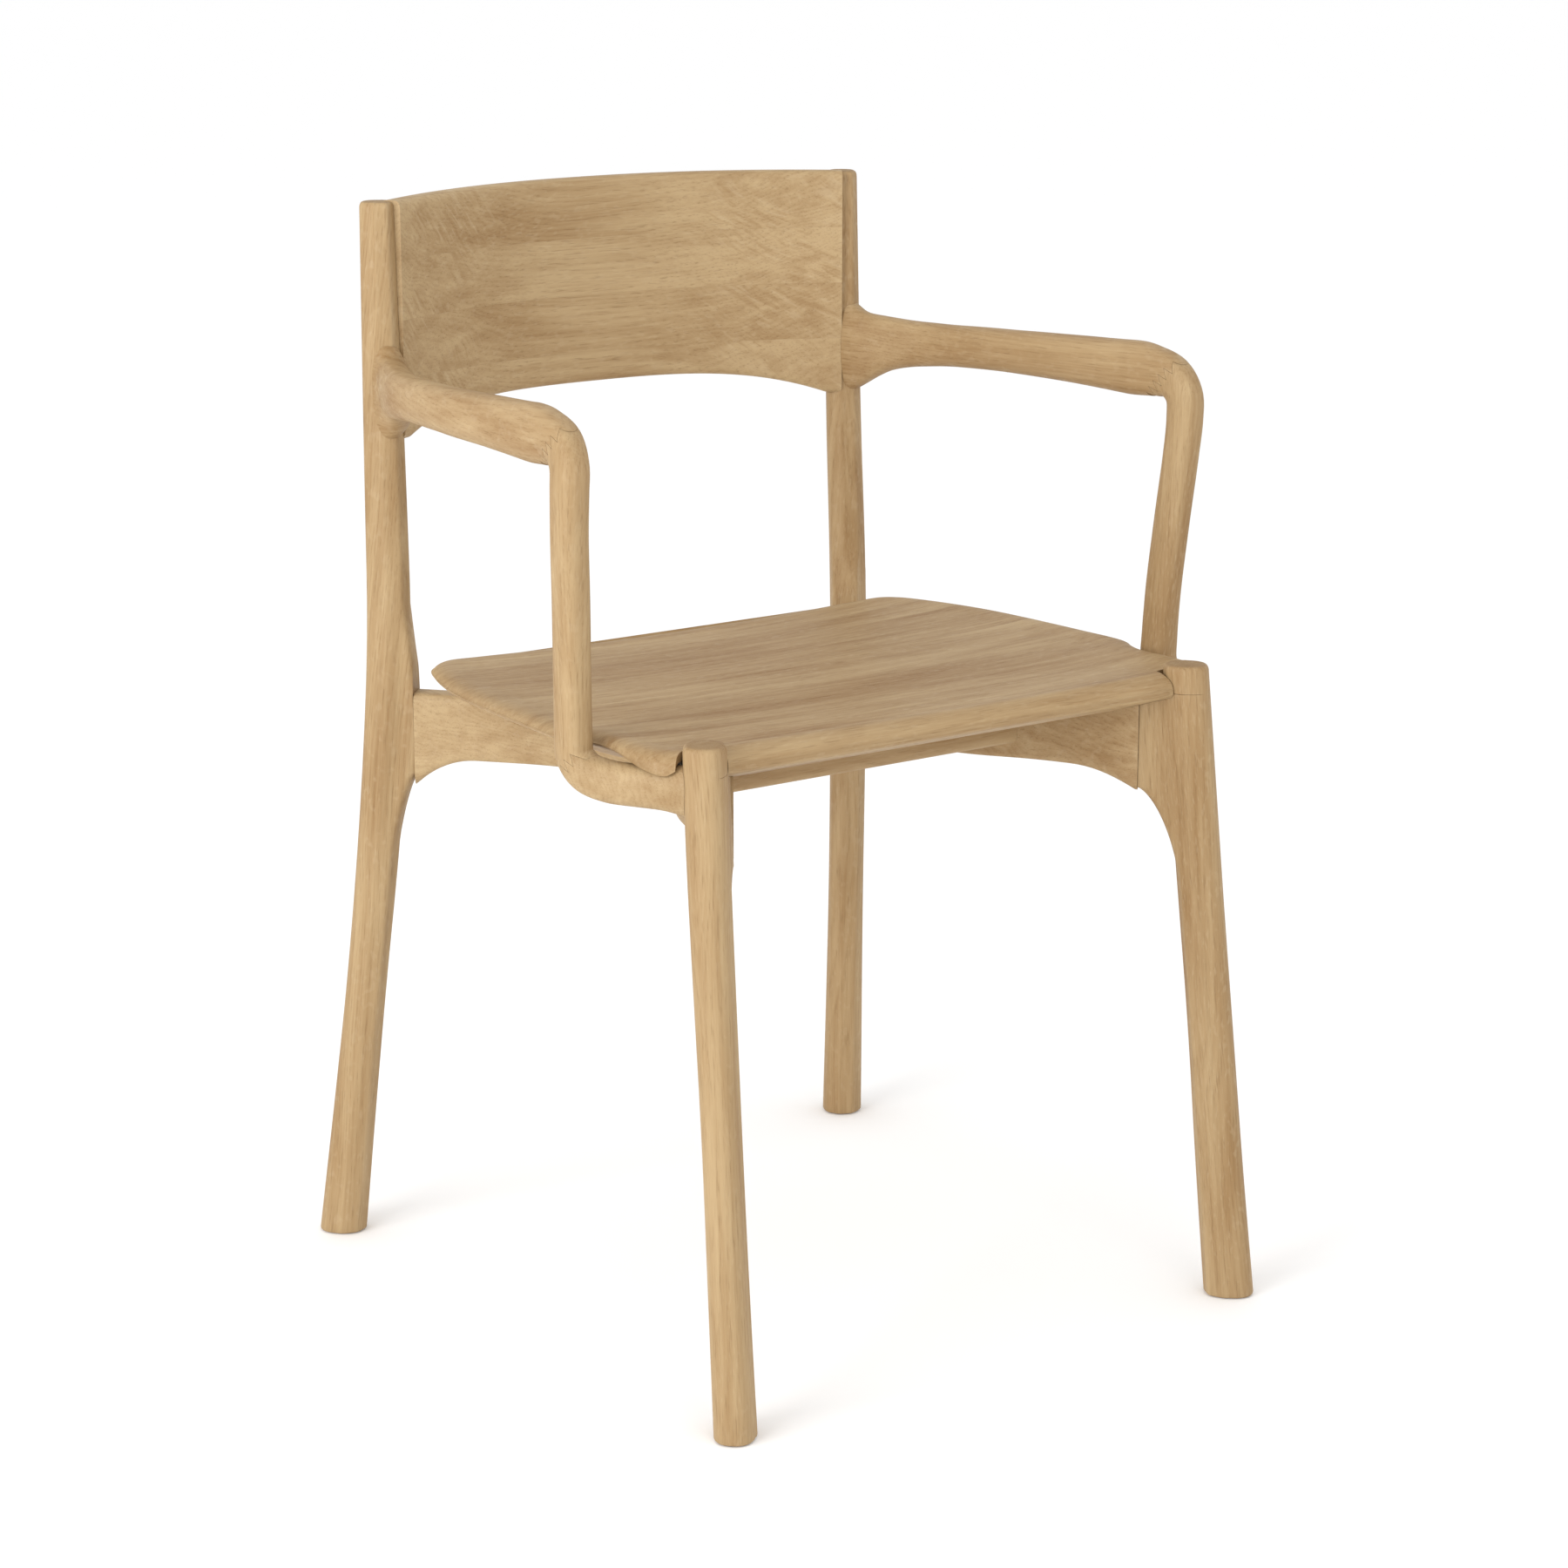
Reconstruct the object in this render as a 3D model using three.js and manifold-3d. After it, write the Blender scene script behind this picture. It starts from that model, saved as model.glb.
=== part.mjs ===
// Wooden armchair: oak frame on four splayed legs, dished solid seat, bowed backrest and looped arms.
// Millimetres, +Z up, the chair faces -Y, and the middle of the feet is the origin.
// Each arm, rail and leg is made once for the +X side and mirrored for the -X side.
import * as THREE from 'three';
import Module from 'manifold-3d';

const wasm = await Module();
wasm.setup();
const { Manifold, Mesh: SolidMesh } = wasm;

// ---- driving dimensions ----
const CLEAR = 0.3; // glue gap between two touching pieces
const LEG_TOP = 792;
const GLIDE_HEIGHT = 0.6; // how far the leg stands above the floor on its let-in glide
const GLIDE_RADIUS = 9;

const SEAT_UNDER = 432;
const SEAT_RIM = 464.3;
const SEAT_MIDDLE_DROP = 4.5; // the back edge is this much lower in the middle than at its corners
const LIP_FRONT = 448; // lower edge of the thin lip; the underside falls away inwards below it
const LIP_SIDE = 457;
const SEAT_DISH = 6; // depth of the hollow in the seat top
const SEAT_STAVES = 5;
const SEAT_BACK_Y = 155;
const SEAT_FRONT_Y = -206;

const RAIL_THICK = 22;
const RAIL_TOP = SEAT_UNDER - CLEAR;
const RAIL_BOTTOM_REAR = 381.5;
const RAIL_BOTTOM_FRONT = 392;
const FRONT_NECK_LOW = 380; // the necks start to shrink back into the leg below this height
const REAR_NECK_LOW = 371;
const FRONT_DROOP = 14.2; // the rail's lower edge turns down this far to meet each neck
const REAR_DROOP = 20.3;
const DROOP_RUN = 50; // length of rail over which it does so
const REAR_SEAM = 23; // seam between neck and rail, measured inwards from the leg centre
const FRONT_SEAM = 37;
const NECK_TOP_FRONT = 450; // before the seat's underside is taken off it

const CROSS_THICK = 22;
const CROSS_BOTTOM = 401;
const CROSS_Y = 88; // the two cross rails stand at +CROSS_Y and -CROSS_Y
const CROSS_SCREW_X = 62;

const ARM_ROOM = 2.5; // open gap between the arm foot and the seat corner
const BACK_THICK = 16;
const BACK_BOTTOM = 619;
const BACK_TOP = 793; // at the ends; the top edge rises by BACK_CROWN in the middle
const BACK_CROWN = 2;
const BACK_BOW = 46; // how far the middle of the backrest stands behind its ends
const BACK_ARCH = 20; // rise of the bottom edge in the middle
const BACK_END_Y = 211;
const BACK_END_X = 203; // the board runs this far, up to the round of the post
const BACK_STAVES = 4;

const FINGER_PITCH = 7;
const FINGER_DEPTH = 4;

// ---- leg stations: height, centre x, centre y, radial width, tangential width ----
const FRONT_LEG = [
  [0, 223.6, -252.0, 36.8, 28.8],
  [100, 220.8, -240.3, 34.6, 27.0],
  [200, 218.4, -230.0, 32.8, 25.9],
  [300, 215.6, -218.2, 33.0, 27.4],
  [400, 213.0, -207.0, 33.8, 28.6],
  [470, 210.8, -200.8, 32.8, 28.6],
];
const REAR_LEG = [
  [0, 240.8, 250.4, 35.8, 31.7],
  [100, 234.1, 239.1, 32.4, 29.4],
  [200, 227.3, 227.9, 30.0, 27.4],
  [300, 220.6, 217.3, 31.4, 27.8],
  [400, 215.0, 209.2, 32.6, 28.4],
  [480, 211.6, 206.2, 32.6, 28.0],
  [600, 209.8, 210.5, 30.4, 26.6],
  [LEG_TOP, 208.8, 213.8, 25.8, 23.0],
];
const FRONT_LEG_TOP = 470;
const FLARE_DROP = 68; // height over which the neck grows out of the leg, below and above
const FRONT_INWARD = new THREE.Vector2(-Math.SQRT1_2, Math.SQRT1_2);
const REAR_INWARD = new THREE.Vector2(-Math.SQRT1_2, -Math.SQRT1_2);

// ---- materials ----
const oak = () => new THREE.MeshStandardMaterial({ color: 0xc9a678, roughness: 0.6, metalness: 0 });
const beech = () => new THREE.MeshStandardMaterial({ color: 0xd8b98c, roughness: 0.7, metalness: 0 });
const steel = () => new THREE.MeshStandardMaterial({ color: 0x8c8f93, roughness: 0.35, metalness: 1 });
const nylon = () => new THREE.MeshStandardMaterial({ color: 0x2b2925, roughness: 0.5, metalness: 0 });

// ---- solids ----
const v3 = (x, y, z) => new THREE.Vector3(x, y, z);

function solidFrom(positions, triangles) {
  return new Manifold(new SolidMesh({
    numProp: 3,
    vertProperties: new Float32Array(positions),
    triVerts: new Uint32Array(triangles),
  }));
}

// A closed skin through rings of equal point counts, with a fan over each end.
function loft(rings) {
  const n = rings[0].length;
  const positions = [];
  const triangles = [];
  for (const ring of rings) for (const p of ring) positions.push(p.x, p.y, p.z);
  for (let i = 0; i < rings.length - 1; i++) {
    for (let j = 0; j < n; j++) {
      const a = i * n + j;
      const b = i * n + ((j + 1) % n);
      triangles.push(a, b, b + n, a, b + n, a + n);
    }
  }
  for (const end of [0, rings.length - 1]) {
    const middle = v3(0, 0, 0);
    for (const p of rings[end]) middle.addScaledVector(p, 1 / n);
    const m = positions.length / 3;
    positions.push(middle.x, middle.y, middle.z);
    for (let j = 0; j < n; j++) {
      const a = end * n + j;
      const b = end * n + ((j + 1) % n);
      triangles.push(...(end === 0 ? [m, b, a] : [m, a, b]));
    }
  }
  const geometry = new THREE.BufferGeometry();
  geometry.setAttribute('position', new THREE.Float32BufferAttribute(positions, 3));
  geometry.setIndex(triangles);
  if (signedVolume(geometry) < 0) {
    for (let i = 0; i < triangles.length; i += 3) {
      [triangles[i + 1], triangles[i + 2]] = [triangles[i + 2], triangles[i + 1]];
    }
  }
  return solidFrom(positions, triangles);
}

function signedVolume(geometry) {
  const p = geometry.getAttribute('position');
  const index = geometry.index;
  const [a, b, c] = [v3(), v3(), v3()];
  let volume = 0;
  for (let i = 0; i < index.count; i += 3) {
    a.fromBufferAttribute(p, index.getX(i));
    b.fromBufferAttribute(p, index.getX(i + 1));
    c.fromBufferAttribute(p, index.getX(i + 2));
    volume += a.dot(b.cross(c));
  }
  return volume;
}

// A solid from any closed three.js geometry.
function solidOf(geometry) {
  const flat = geometry.index ? geometry.toNonIndexed() : geometry;
  const p = flat.getAttribute('position');
  const keys = new Map();
  const positions = [];
  const corners = [];
  for (let i = 0; i < p.count; i++) {
    const point = [p.getX(i), p.getY(i), p.getZ(i)];
    const key = point.map((v) => Math.round(v * 1000)).join();
    if (!keys.has(key)) {
      keys.set(key, positions.length / 3);
      positions.push(...point);
    }
    corners.push(keys.get(key));
  }
  const triangles = [];
  for (let i = 0; i < corners.length; i += 3) {
    const [a, b, c] = corners.slice(i, i + 3);
    if (a !== b && b !== c && c !== a) triangles.push(a, b, c);
  }
  return solidFrom(positions, triangles);
}

// A box between two corners.
function block(min, max) {
  const size = max.clone().sub(min);
  const geometry = new THREE.BoxGeometry(size.x, size.y, size.z);
  geometry.translate(min.x + size.x / 2, min.y + size.y / 2, min.z + size.z / 2);
  return solidOf(geometry);
}

// A round bar between two points.
function bar(from, to, radius, sides = 14) {
  const axis = to.clone().sub(from);
  const geometry = new THREE.CylinderGeometry(radius, radius, axis.length(), sides);
  geometry.rotateX(Math.PI / 2);
  const turn = new THREE.Quaternion().setFromUnitVectors(v3(0, 0, 1), axis.normalize());
  geometry.applyQuaternion(turn);
  const middle = from.clone().add(to).multiplyScalar(0.5);
  geometry.translate(middle.x, middle.y, middle.z);
  return solidOf(geometry);
}

// A flat-sided tenon along an axis lying in the horizontal plane.
function tenonBar(from, to, thick, bottom, top) {
  const axis = new THREE.Vector2(to.x - from.x, to.y - from.y);
  const geometry = new THREE.BoxGeometry(axis.length(), thick, top - bottom);
  geometry.rotateZ(axis.angle());
  geometry.translate((from.x + to.x) / 2, (from.y + to.y) / 2, (bottom + top) / 2);
  return solidOf(geometry);
}

const mirrored = (solid) => solid.mirror([1, 0, 0]);

// ---- legs ----
const clamp01 = (t) => Math.min(1, Math.max(0, t));

function station(table, z) {
  let i = 1;
  while (i < table.length - 1 && table[i][0] < z) i++;
  const [low, high] = [table[i - 1], table[i]];
  const t = (z - low[0]) / (high[0] - low[0]);
  return low.map((v, k) => v + (high[k] - v) * t);
}

// How far the neck still reaches out at a share t of the flare, from 1 at the rail to 0 at the leg.
const flareBelow = (t) => Math.pow(1 - Math.pow(clamp01(t), 0.6), 1.5);
const flareAbove = (t) => Math.pow(1 - Math.sqrt(clamp01(t)), 0.95);

// Half width of the leg at the distance d inwards from its centre line.
function legHalfWidth(d, radial, tangential, reach) {
  const long = radial / 2;
  const body = d < 0
    ? Math.pow(Math.max(0, 1 - Math.pow(-d / long, 2.4)), 1 / 2.4)
    : Math.pow(Math.max(0, 1 - Math.pow(d / long, 2.0)), 1 / 1.7);
  const neck = d < 0 ? 0 : Math.pow(Math.max(0, 1 - Math.pow(d / reach, 10)), 1 / 3);
  const a = (tangential / 2) * body;
  const b = Math.min((RAIL_THICK / 2) * neck, tangential / 2);
  return Math.pow(Math.pow(a, 6) + Math.pow(b, 6), 1 / 6);
}

function legRing(table, inward, z, reachAtRail, low, high, shrink = 1, grow = 0) {
  const [, x, y, radial, tangential] = station(table, z);
  const long = radial / 2;
  const hidden = long * 0.9;
  let out = 1;
  if (z < low) out = flareBelow((low - z) / FLARE_DROP);
  if (z > high) out = flareAbove((z - high) / FLARE_DROP);
  const reach = Math.max(hidden, hidden + (reachAtRail - hidden) * out);
  const tip = Math.max(long, reach);
  const across = new THREE.Vector2(-inward.y, inward.x);
  const half = 8;
  const points = [];
  const at = (k, side) => {
    const s = 0.5 - 0.5 * Math.cos((Math.PI * (k + 0.35)) / (half + 0.7));
    const d = -long + (tip + long) * s;
    const w = legHalfWidth(d, radial, tangential, reach);
    const dd = (d + (s < 0.5 ? -grow : grow)) * shrink;
    return v3(
      x + inward.x * dd + across.x * side * (w + grow) * shrink,
      y + inward.y * dd + across.y * side * (w + grow) * shrink,
      z,
    );
  };
  for (let k = 0; k <= half; k++) points.push(at(k, 1));
  for (let k = half; k >= 0; k--) points.push(at(k, -1));
  return points;
}

function legSolid(table, inward, top, seam, low, high, openTop, grow = 0) {
  const reach = seam + 6;
  const base = GLIDE_HEIGHT - grow;
  const levels = [base, base + 1.6, 60, 130, 200, 270];
  for (let k = 7; k >= 0; k--) levels.push(low - FLARE_DROP * Math.pow(k / 8, 2));
  levels.push(high);
  if (openTop) {
    for (const k of [0.5, 1, 2, 3, 4.5, 6, 8]) levels.push(high + FLARE_DROP * Math.pow(k / 8, 2));
    levels.push(560, 620, 680, 740);
  } else {
    levels.push(high + 0.4);
  }
  const rings = levels.map((z, i) => {
    const noNeck = !openTop && i === levels.length - 1;
    return legRing(table, inward, z, noNeck ? 0 : reach, low, high, i === 0 ? 0.93 : 1, grow);
  });
  for (const [drop, shrink] of [[5, 1], [1.8, 0.96], [0.4, 0.84], [0, 0.5]]) {
    const noNeck = legRing(table, inward, top - drop + grow, 0, low, high, shrink, grow);
    rings.push(noNeck);
  }
  return loft(rings);
}

// Everything further inwards than the seam, as a block to take away.
function beyond(centre, inward, distance, bottom, top) {
  const geometry = new THREE.BoxGeometry(80, 120, top - bottom);
  geometry.translate(distance + 40, 0, (top + bottom) / 2);
  geometry.rotateZ(inward.angle());
  geometry.translate(centre.x, centre.y, 0);
  return solidOf(geometry);
}

const legCentre = (table, z) => {
  const [, x, y] = station(table, z);
  return v3(x, y, z);
};
const railMiddle = (RAIL_TOP + RAIL_BOTTOM_REAR) / 2;
const rearCentre = legCentre(REAR_LEG, railMiddle);
const frontCentre = legCentre(FRONT_LEG, railMiddle);
const inwardPoint = (centre, inward, d, z = centre.z) => (
  v3(centre.x + inward.x * d, centre.y + inward.y * d, z)
);

function frontLegShape(grow = 0) {
  const whole = legSolid(FRONT_LEG, FRONT_INWARD, FRONT_LEG_TOP, FRONT_SEAM, FRONT_NECK_LOW, NECK_TOP_FRONT,
    false, grow);
  return whole.subtract(beyond(frontCentre, FRONT_INWARD, FRONT_SEAM, 200, 500));
}

function rearLegShape(grow = 0) {
  const whole = legSolid(REAR_LEG, REAR_INWARD, LEG_TOP, REAR_SEAM, REAR_NECK_LOW, RAIL_TOP, true, grow);
  return whole.subtract(beyond(rearCentre, REAR_INWARD, REAR_SEAM, 200, 560));
}

// ---- seat rails, bowed towards each other ----
const railStart = inwardPoint(rearCentre, REAR_INWARD, REAR_SEAM + CLEAR);
const railEnd = inwardPoint(frontCentre, FRONT_INWARD, FRONT_SEAM + CLEAR);
const railLine = new THREE.CatmullRomCurve3([
  inwardPoint(rearCentre, REAR_INWARD, REAR_SEAM - 30, 0),
  v3(railStart.x, railStart.y, 0),
  v3(160, 144, 0),
  v3(130, 97, 0),
  v3(115, 45, 0),
  v3(114, -8, 0),
  v3(127, -56, 0),
  v3(155, -106, 0),
  v3(railEnd.x, railEnd.y, 0),
  inwardPoint(frontCentre, FRONT_INWARD, FRONT_SEAM - 30, 0),
], false, 'centripetal');

const roundedRectangle = (width, height, radius, steps = 2) => {
  const points = [];
  for (const [sx, sy, start] of [[1, 1, 0], [-1, 1, 1], [-1, -1, 2], [1, -1, 3]]) {
    for (let k = 0; k <= steps; k++) {
      const angle = (start + k / steps) * (Math.PI / 2);
      points.push([
        sx * (width / 2 - radius) + radius * Math.cos(angle),
        sy * (height / 2 - radius) + radius * Math.sin(angle),
      ]);
    }
  }
  return points;
};

// How far the rail's lower edge has turned down towards a neck at a point of the rail.
const droopTowards = (p, centre, seam, depth) => {
  const run = Math.hypot(p.x - centre.x, p.y - centre.y) - seam;
  return depth * Math.pow(clamp01(1 - run / DROOP_RUN), 2.2);
};

// Point, sideways direction and bottom and top heights of the seat rail at each of its stations.
const RAIL_STEPS = 34;
const railStations = Array.from({ length: RAIL_STEPS + 1 }, (_, i) => {
  const p = railLine.getPoint(i / RAIL_STEPS);
  const tangent = railLine.getTangent(i / RAIL_STEPS);
  const share = clamp01((p.y - frontCentre.y) / (rearCentre.y - frontCentre.y));
  const droop = droopTowards(p, frontCentre, FRONT_SEAM, FRONT_DROOP)
    + droopTowards(p, rearCentre, REAR_SEAM, REAR_DROOP);
  const bottom = RAIL_BOTTOM_FRONT + (RAIL_BOTTOM_REAR - RAIL_BOTTOM_FRONT) * share - droop;
  const top = RAIL_TOP + (NECK_TOP_FRONT - RAIL_TOP) * clamp01((0.24 - share) / 0.14);
  return { p, side: v3(-tangent.y, tangent.x, 0).normalize(), bottom, top };
});

function seatRail() {
  const rings = railStations.map(({ p, side, bottom, top }) => {
    const height = top - bottom;
    return roundedRectangle(RAIL_THICK, height, 4, 1).map(([a, b]) => v3(
      p.x + side.x * a,
      p.y + side.y * a,
      bottom + height / 2 + b,
    ));
  });
  return loft(rings)
    .subtract(beyond(rearCentre, REAR_INWARD.clone().negate(), -(REAR_SEAM + CLEAR), 300, 500))
    .subtract(beyond(frontCentre, FRONT_INWARD.clone().negate(), -(FRONT_SEAM + CLEAR), 300, 500));
}

// ---- cross rails ----
function crossRail(sign) {
  const height = RAIL_TOP - CROSS_BOTTOM;
  const rings = [-170, 170].map((x) => roundedRectangle(CROSS_THICK, height, 4, 2).map(([a, b]) => v3(
    x,
    sign * CROSS_Y + a,
    CROSS_BOTTOM + height / 2 + b,
  )));
  return loft(rings);
}

// The space a seat rail fills, with the glue gap around it and everything outside it.
function railShadow() {
  const shape = new THREE.Shape();
  const inner = railStations.slice(5, -5).map(({ p, side }) => {
    const away = (side.x > 0 ? -1 : 1) * (RAIL_THICK / 2 + CLEAR);
    return [p.x + side.x * away, p.y + side.y * away];
  });
  shape.moveTo(400, inner[0][1]);
  for (const [x, y] of inner) shape.lineTo(x, y);
  shape.lineTo(400, inner[inner.length - 1][1]);
  shape.closePath();
  const geometry = new THREE.ExtrudeGeometry(shape, { depth: 120, bevelEnabled: false });
  geometry.translate(0, 0, 350);
  return solidOf(geometry);
}

// ---- arms ----
const armLine = new THREE.CatmullRomCurve3([
  v3(208.5, 212, 655),
  v3(212.5, 190, 656),
  v3(222, 168, 659.5),
  v3(235, 135, 661.5),
  v3(246, 85, 663.5),
  v3(253.5, 35, 664.5),
  v3(258, -20, 665.5),
  v3(261.3, -69, 665.8),
  v3(263.3, -98.5, 665.8),
  v3(265.4, -119.8, 662),
  v3(267.2, -129, 650.5),
  v3(267.8, -129.6, 634),
  v3(266.8, -127.2, 605),
  v3(263.7, -123.2, 560),
  v3(260.6, -118.6, 505),
  v3(259.3, -117, 468),
  v3(258.6, -117.5, 453),
  v3(255.5, -126, 443),
  v3(248, -141, 438.3),
  v3(237, -163, 438),
  v3(224, -186, 438.5),
  v3(211.5, -205, 437),
], false, 'centripetal');
// Share of the curve, width and height of the section there.
const ARM_SECTIONS = [
  [0, 24, 80],
  [0.018, 24, 74],
  [0.035, 24.5, 58],
  [0.06, 25, 45],
  [0.1, 25, 36],
  [0.16, 25, 32],
  [0.25, 25, 32.5],
  [0.35, 25, 35.5],
  [0.42, 25, 38.5],
  [0.465, 25, 41],
  [0.5, 24, 35],
  [0.53, 23, 29],
  [0.6, 22.5, 27],
  [0.8, 22.5, 27],
  [0.86, 23.5, 28],
  [0.945, 23.5, 29],
  [0.96, 23.5, 30.5],
  [0.975, 23.5, 34],
  [1, 23.5, 40],
];

function armWhole(grow = 0) {
  const rings = [];
  const steps = 42;
  const reference = v3(1, 0, 0);
  for (let i = 0; i <= steps; i++) {
    const u = i / steps;
    const p = armLine.getPointAt(u);
    const tangent = armLine.getTangentAt(u);
    const wide = reference.clone().addScaledVector(tangent, -reference.dot(tangent)).normalize();
    const tall = tangent.clone().cross(wide).normalize();
    const [, width, height] = station(ARM_SECTIONS, u);
    const ring = [];
    for (let k = 0; k < 14; k++) {
      const angle = ((k + 0.5) / 14) * 2 * Math.PI;
      const bend = (v, e) => Math.sign(v) * Math.pow(Math.abs(v), 2 / e);
      ring.push(p.clone()
        .addScaledVector(wide, (width / 2 + grow) * bend(Math.cos(angle), 2.5))
        .addScaledVector(tall, (height / 2 + grow) * bend(Math.sin(angle), 2.5)));
    }
    rings.push(ring);
  }
  return loft(rings);
}

// A thin zigzag wall that parts two finger-jointed pieces: it lies across the given direction.
function fingerKerf(centre, direction, half, fingerAxis) {
  const outline = [];
  const count = Math.ceil((2 * half) / FINGER_PITCH);
  for (let i = 0; i <= count * 2; i++) {
    outline.push([-half + (i * FINGER_PITCH) / 2, i % 2 ? FINGER_DEPTH : -FINGER_DEPTH]);
  }
  const slope = Math.atan2(2 * FINGER_DEPTH, FINGER_PITCH / 2);
  const rise = CLEAR / Math.cos(slope);
  const shape = new THREE.Shape();
  shape.moveTo(outline[0][0], outline[0][1]);
  for (const [a, b] of outline.slice(1)) shape.lineTo(a, b);
  for (const [a, b] of outline.slice().reverse()) shape.lineTo(a, b + rise);
  shape.closePath();
  const geometry = new THREE.ExtrudeGeometry(shape, { depth: 60, bevelEnabled: false });
  geometry.translate(0, 0, -30);
  const along = direction.clone().normalize();
  const up = along.clone();
  const right = fingerAxis.clone().addScaledVector(up, -fingerAxis.dot(up)).normalize();
  const out = right.clone().cross(up);
  geometry.applyMatrix4(new THREE.Matrix4().makeBasis(right, up, out));
  geometry.translate(centre.x, centre.y, centre.z);
  return solidOf(geometry);
}

// ---- backrest ----
const backY = (x) => BACK_END_Y + BACK_BOW * (1 - Math.pow(Math.abs(x) / 193, 2.3));
const backBottom = (x) => BACK_BOTTOM + BACK_ARCH * (1 - Math.pow(Math.min(1, Math.abs(x) / 193), 3.8));
const backTop = (x) => BACK_TOP + BACK_CROWN * (1 - Math.pow(x / 193, 2));

function backBoard() {
  const rings = [];
  const steps = 22;
  for (let i = 0; i <= steps; i++) {
    const x = BACK_END_X * ((2 * i) / steps - 1);
    const slope = (backY(x + 0.5) - backY(x - 0.5));
    const normal = v3(-slope, 1, 0).normalize();
    const bottom = backBottom(x);
    const height = backTop(x) - bottom;
    rings.push(roundedRectangle(BACK_THICK, height, 5, 2).map(([a, b]) => v3(
      x + normal.x * a,
      backY(x) + normal.y * a,
      bottom + height / 2 + b,
    )));
  }
  return loft(rings);
}

// ---- seat ----
// Half outline of the seat rim, from the middle of the back to the middle of the front.
const SEAT_HALF = [
  [0, SEAT_BACK_Y], [60, SEAT_BACK_Y], [120, SEAT_BACK_Y], [174, SEAT_BACK_Y], [200, 152], [216, 140],
  [227, 117], [236, 90], [243, 60], [247.5, 25], [250.5, -15], [252.5, -50], [254, -76], [252.5, -92],
  [247, -104], [243, -117], [242, -131], [243.5, -146], [244.3, -160], [243.5, -174], [239, -187],
  [230, -196], [219, -201.5], [206, -204.5], [190, SEAT_FRONT_Y], [150, SEAT_FRONT_Y], [100, SEAT_FRONT_Y],
  [50, SEAT_FRONT_Y], [0, SEAT_FRONT_Y],
];

function seatOutline() {
  const right = SEAT_HALF.map(([x, y]) => v3(x, y, 0));
  const left = SEAT_HALF.slice(1, -1).reverse().map(([x, y]) => v3(-x, y, 0));
  return [...right, ...left];
}

// The seat ring at one level: the rim drawn in towards the middle by the given distance.
function seatRing(inset, height) {
  const outline = seatOutline();
  const n = outline.length;
  return outline.map((p, i) => {
    const before = outline[(i + n - 1) % n];
    const after = outline[(i + 1) % n];
    const normal = v3(after.y - before.y, -(after.x - before.x), 0).normalize();
    return v3(p.x + normal.x * inset, p.y + normal.y * inset, height(p));
  });
}

// A ring scaled towards the seat middle, for the wide slopes above and below.
function seatScaled(ring, share, height) {
  const middle = v3(0, -26, 0);
  return ring.map((p) => {
    const q = v3(middle.x + (p.x - middle.x) * share, middle.y + (p.y - middle.y) * share, 0);
    q.z = height(p);
    return q;
  });
}

// Top and bottom of the lip at a point of the outline: thick along the front, thin at the sides and back.
const frontness = (p) => clamp01((-150 - p.y) / 45);
const lipBottom = (p) => LIP_SIDE + (LIP_FRONT - LIP_SIDE) * frontness(p);
const lipTop = (p) => {
  const middle = 1 - Math.pow(Math.min(1, Math.abs(p.x) / 200), 2);
  return SEAT_RIM - SEAT_MIDDLE_DROP * middle * (p.y > 0 ? 1 : 0.3);
};

function seatBoard() {
  const edge = seatRing(1.2, lipBottom);
  const rim = seatRing(10, (p) => lipTop(p) - 0.5);
  const rings = [
    seatScaled(edge, 0.74, () => SEAT_UNDER),
    seatScaled(edge, 0.97, (p) => p.z - 2.6),
    edge,
    seatRing(0, (p) => lipBottom(p) + 2),
    seatRing(0.7, (p) => lipTop(p) - 5 - 3 * frontness(p)),
    seatRing(3.4, (p) => lipTop(p) - 2.4 - 1.6 * frontness(p)),
    rim,
  ];
  for (const share of [0.92, 0.84, 0.66, 0.4, 0.16]) {
    const depth = SEAT_DISH * (1 - Math.pow(share, 3));
    rings.push(seatScaled(rim, share, (p) => SEAT_RIM - depth + (p.z - SEAT_RIM) * Math.pow(share, 2)));
  }
  return loft(rings);
}

// The slot in the seat corner that the front leg stands in.
function legSlot() {
  const shape = new THREE.Shape();
  const flank = [[22, 0], [20.5, 5], [16.5, 9.6], [11, 13], [4, 16.2], [-4, 18.2], [-80, 18.2]];
  shape.moveTo(flank[0][0], flank[0][1]);
  for (const [d, w] of flank.slice(1)) shape.lineTo(d, w);
  for (const [d, w] of flank.slice(1).reverse()) shape.lineTo(d, -w);
  shape.closePath();
  const geometry = new THREE.ExtrudeGeometry(shape, { depth: 80, bevelEnabled: false, curveSegments: 5 });
  geometry.rotateZ(FRONT_INWARD.angle());
  const centre = legCentre(FRONT_LEG, 450);
  geometry.translate(centre.x, centre.y, 400);
  return solidOf(geometry);
}

// ---- small parts ----
function screwSolid(x, y, bottom, top, grow = 0) {
  const head = 4.6 + grow;
  const shank = 2.4 + grow;
  const length = top - bottom;
  const profile = [[0, 0], [head, 0], [head, 1.2], [shank, 3.6], [shank, length - 3], [0, length]];
  const points = profile.map(([r, z]) => new THREE.Vector2(r, z));
  const geometry = new THREE.LatheGeometry(points, 12);
  geometry.rotateX(Math.PI / 2);
  geometry.translate(x, y, bottom);
  return solidOf(geometry);
}

function glideSolid(table, grow = 0) {
  const [, x, y] = station(table, 0);
  const rim = GLIDE_RADIUS + grow;
  const disc = [[0, 0], [rim - 1, 0], [rim, 1], [rim, 2.2 + grow],
    [2 + grow, 2.2 + grow], [2 + grow, 16 + grow], [0, 16 + grow]];
  const points = disc.map(([r, z]) => new THREE.Vector2(r, z));
  const geometry = new THREE.LatheGeometry(points, 16);
  geometry.rotateX(Math.PI / 2);
  geometry.translate(x, y, 0);
  return solidOf(geometry);
}

// ---- assembly ----
const chair = new THREE.Group();
chair.name = 'armchair';

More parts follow.
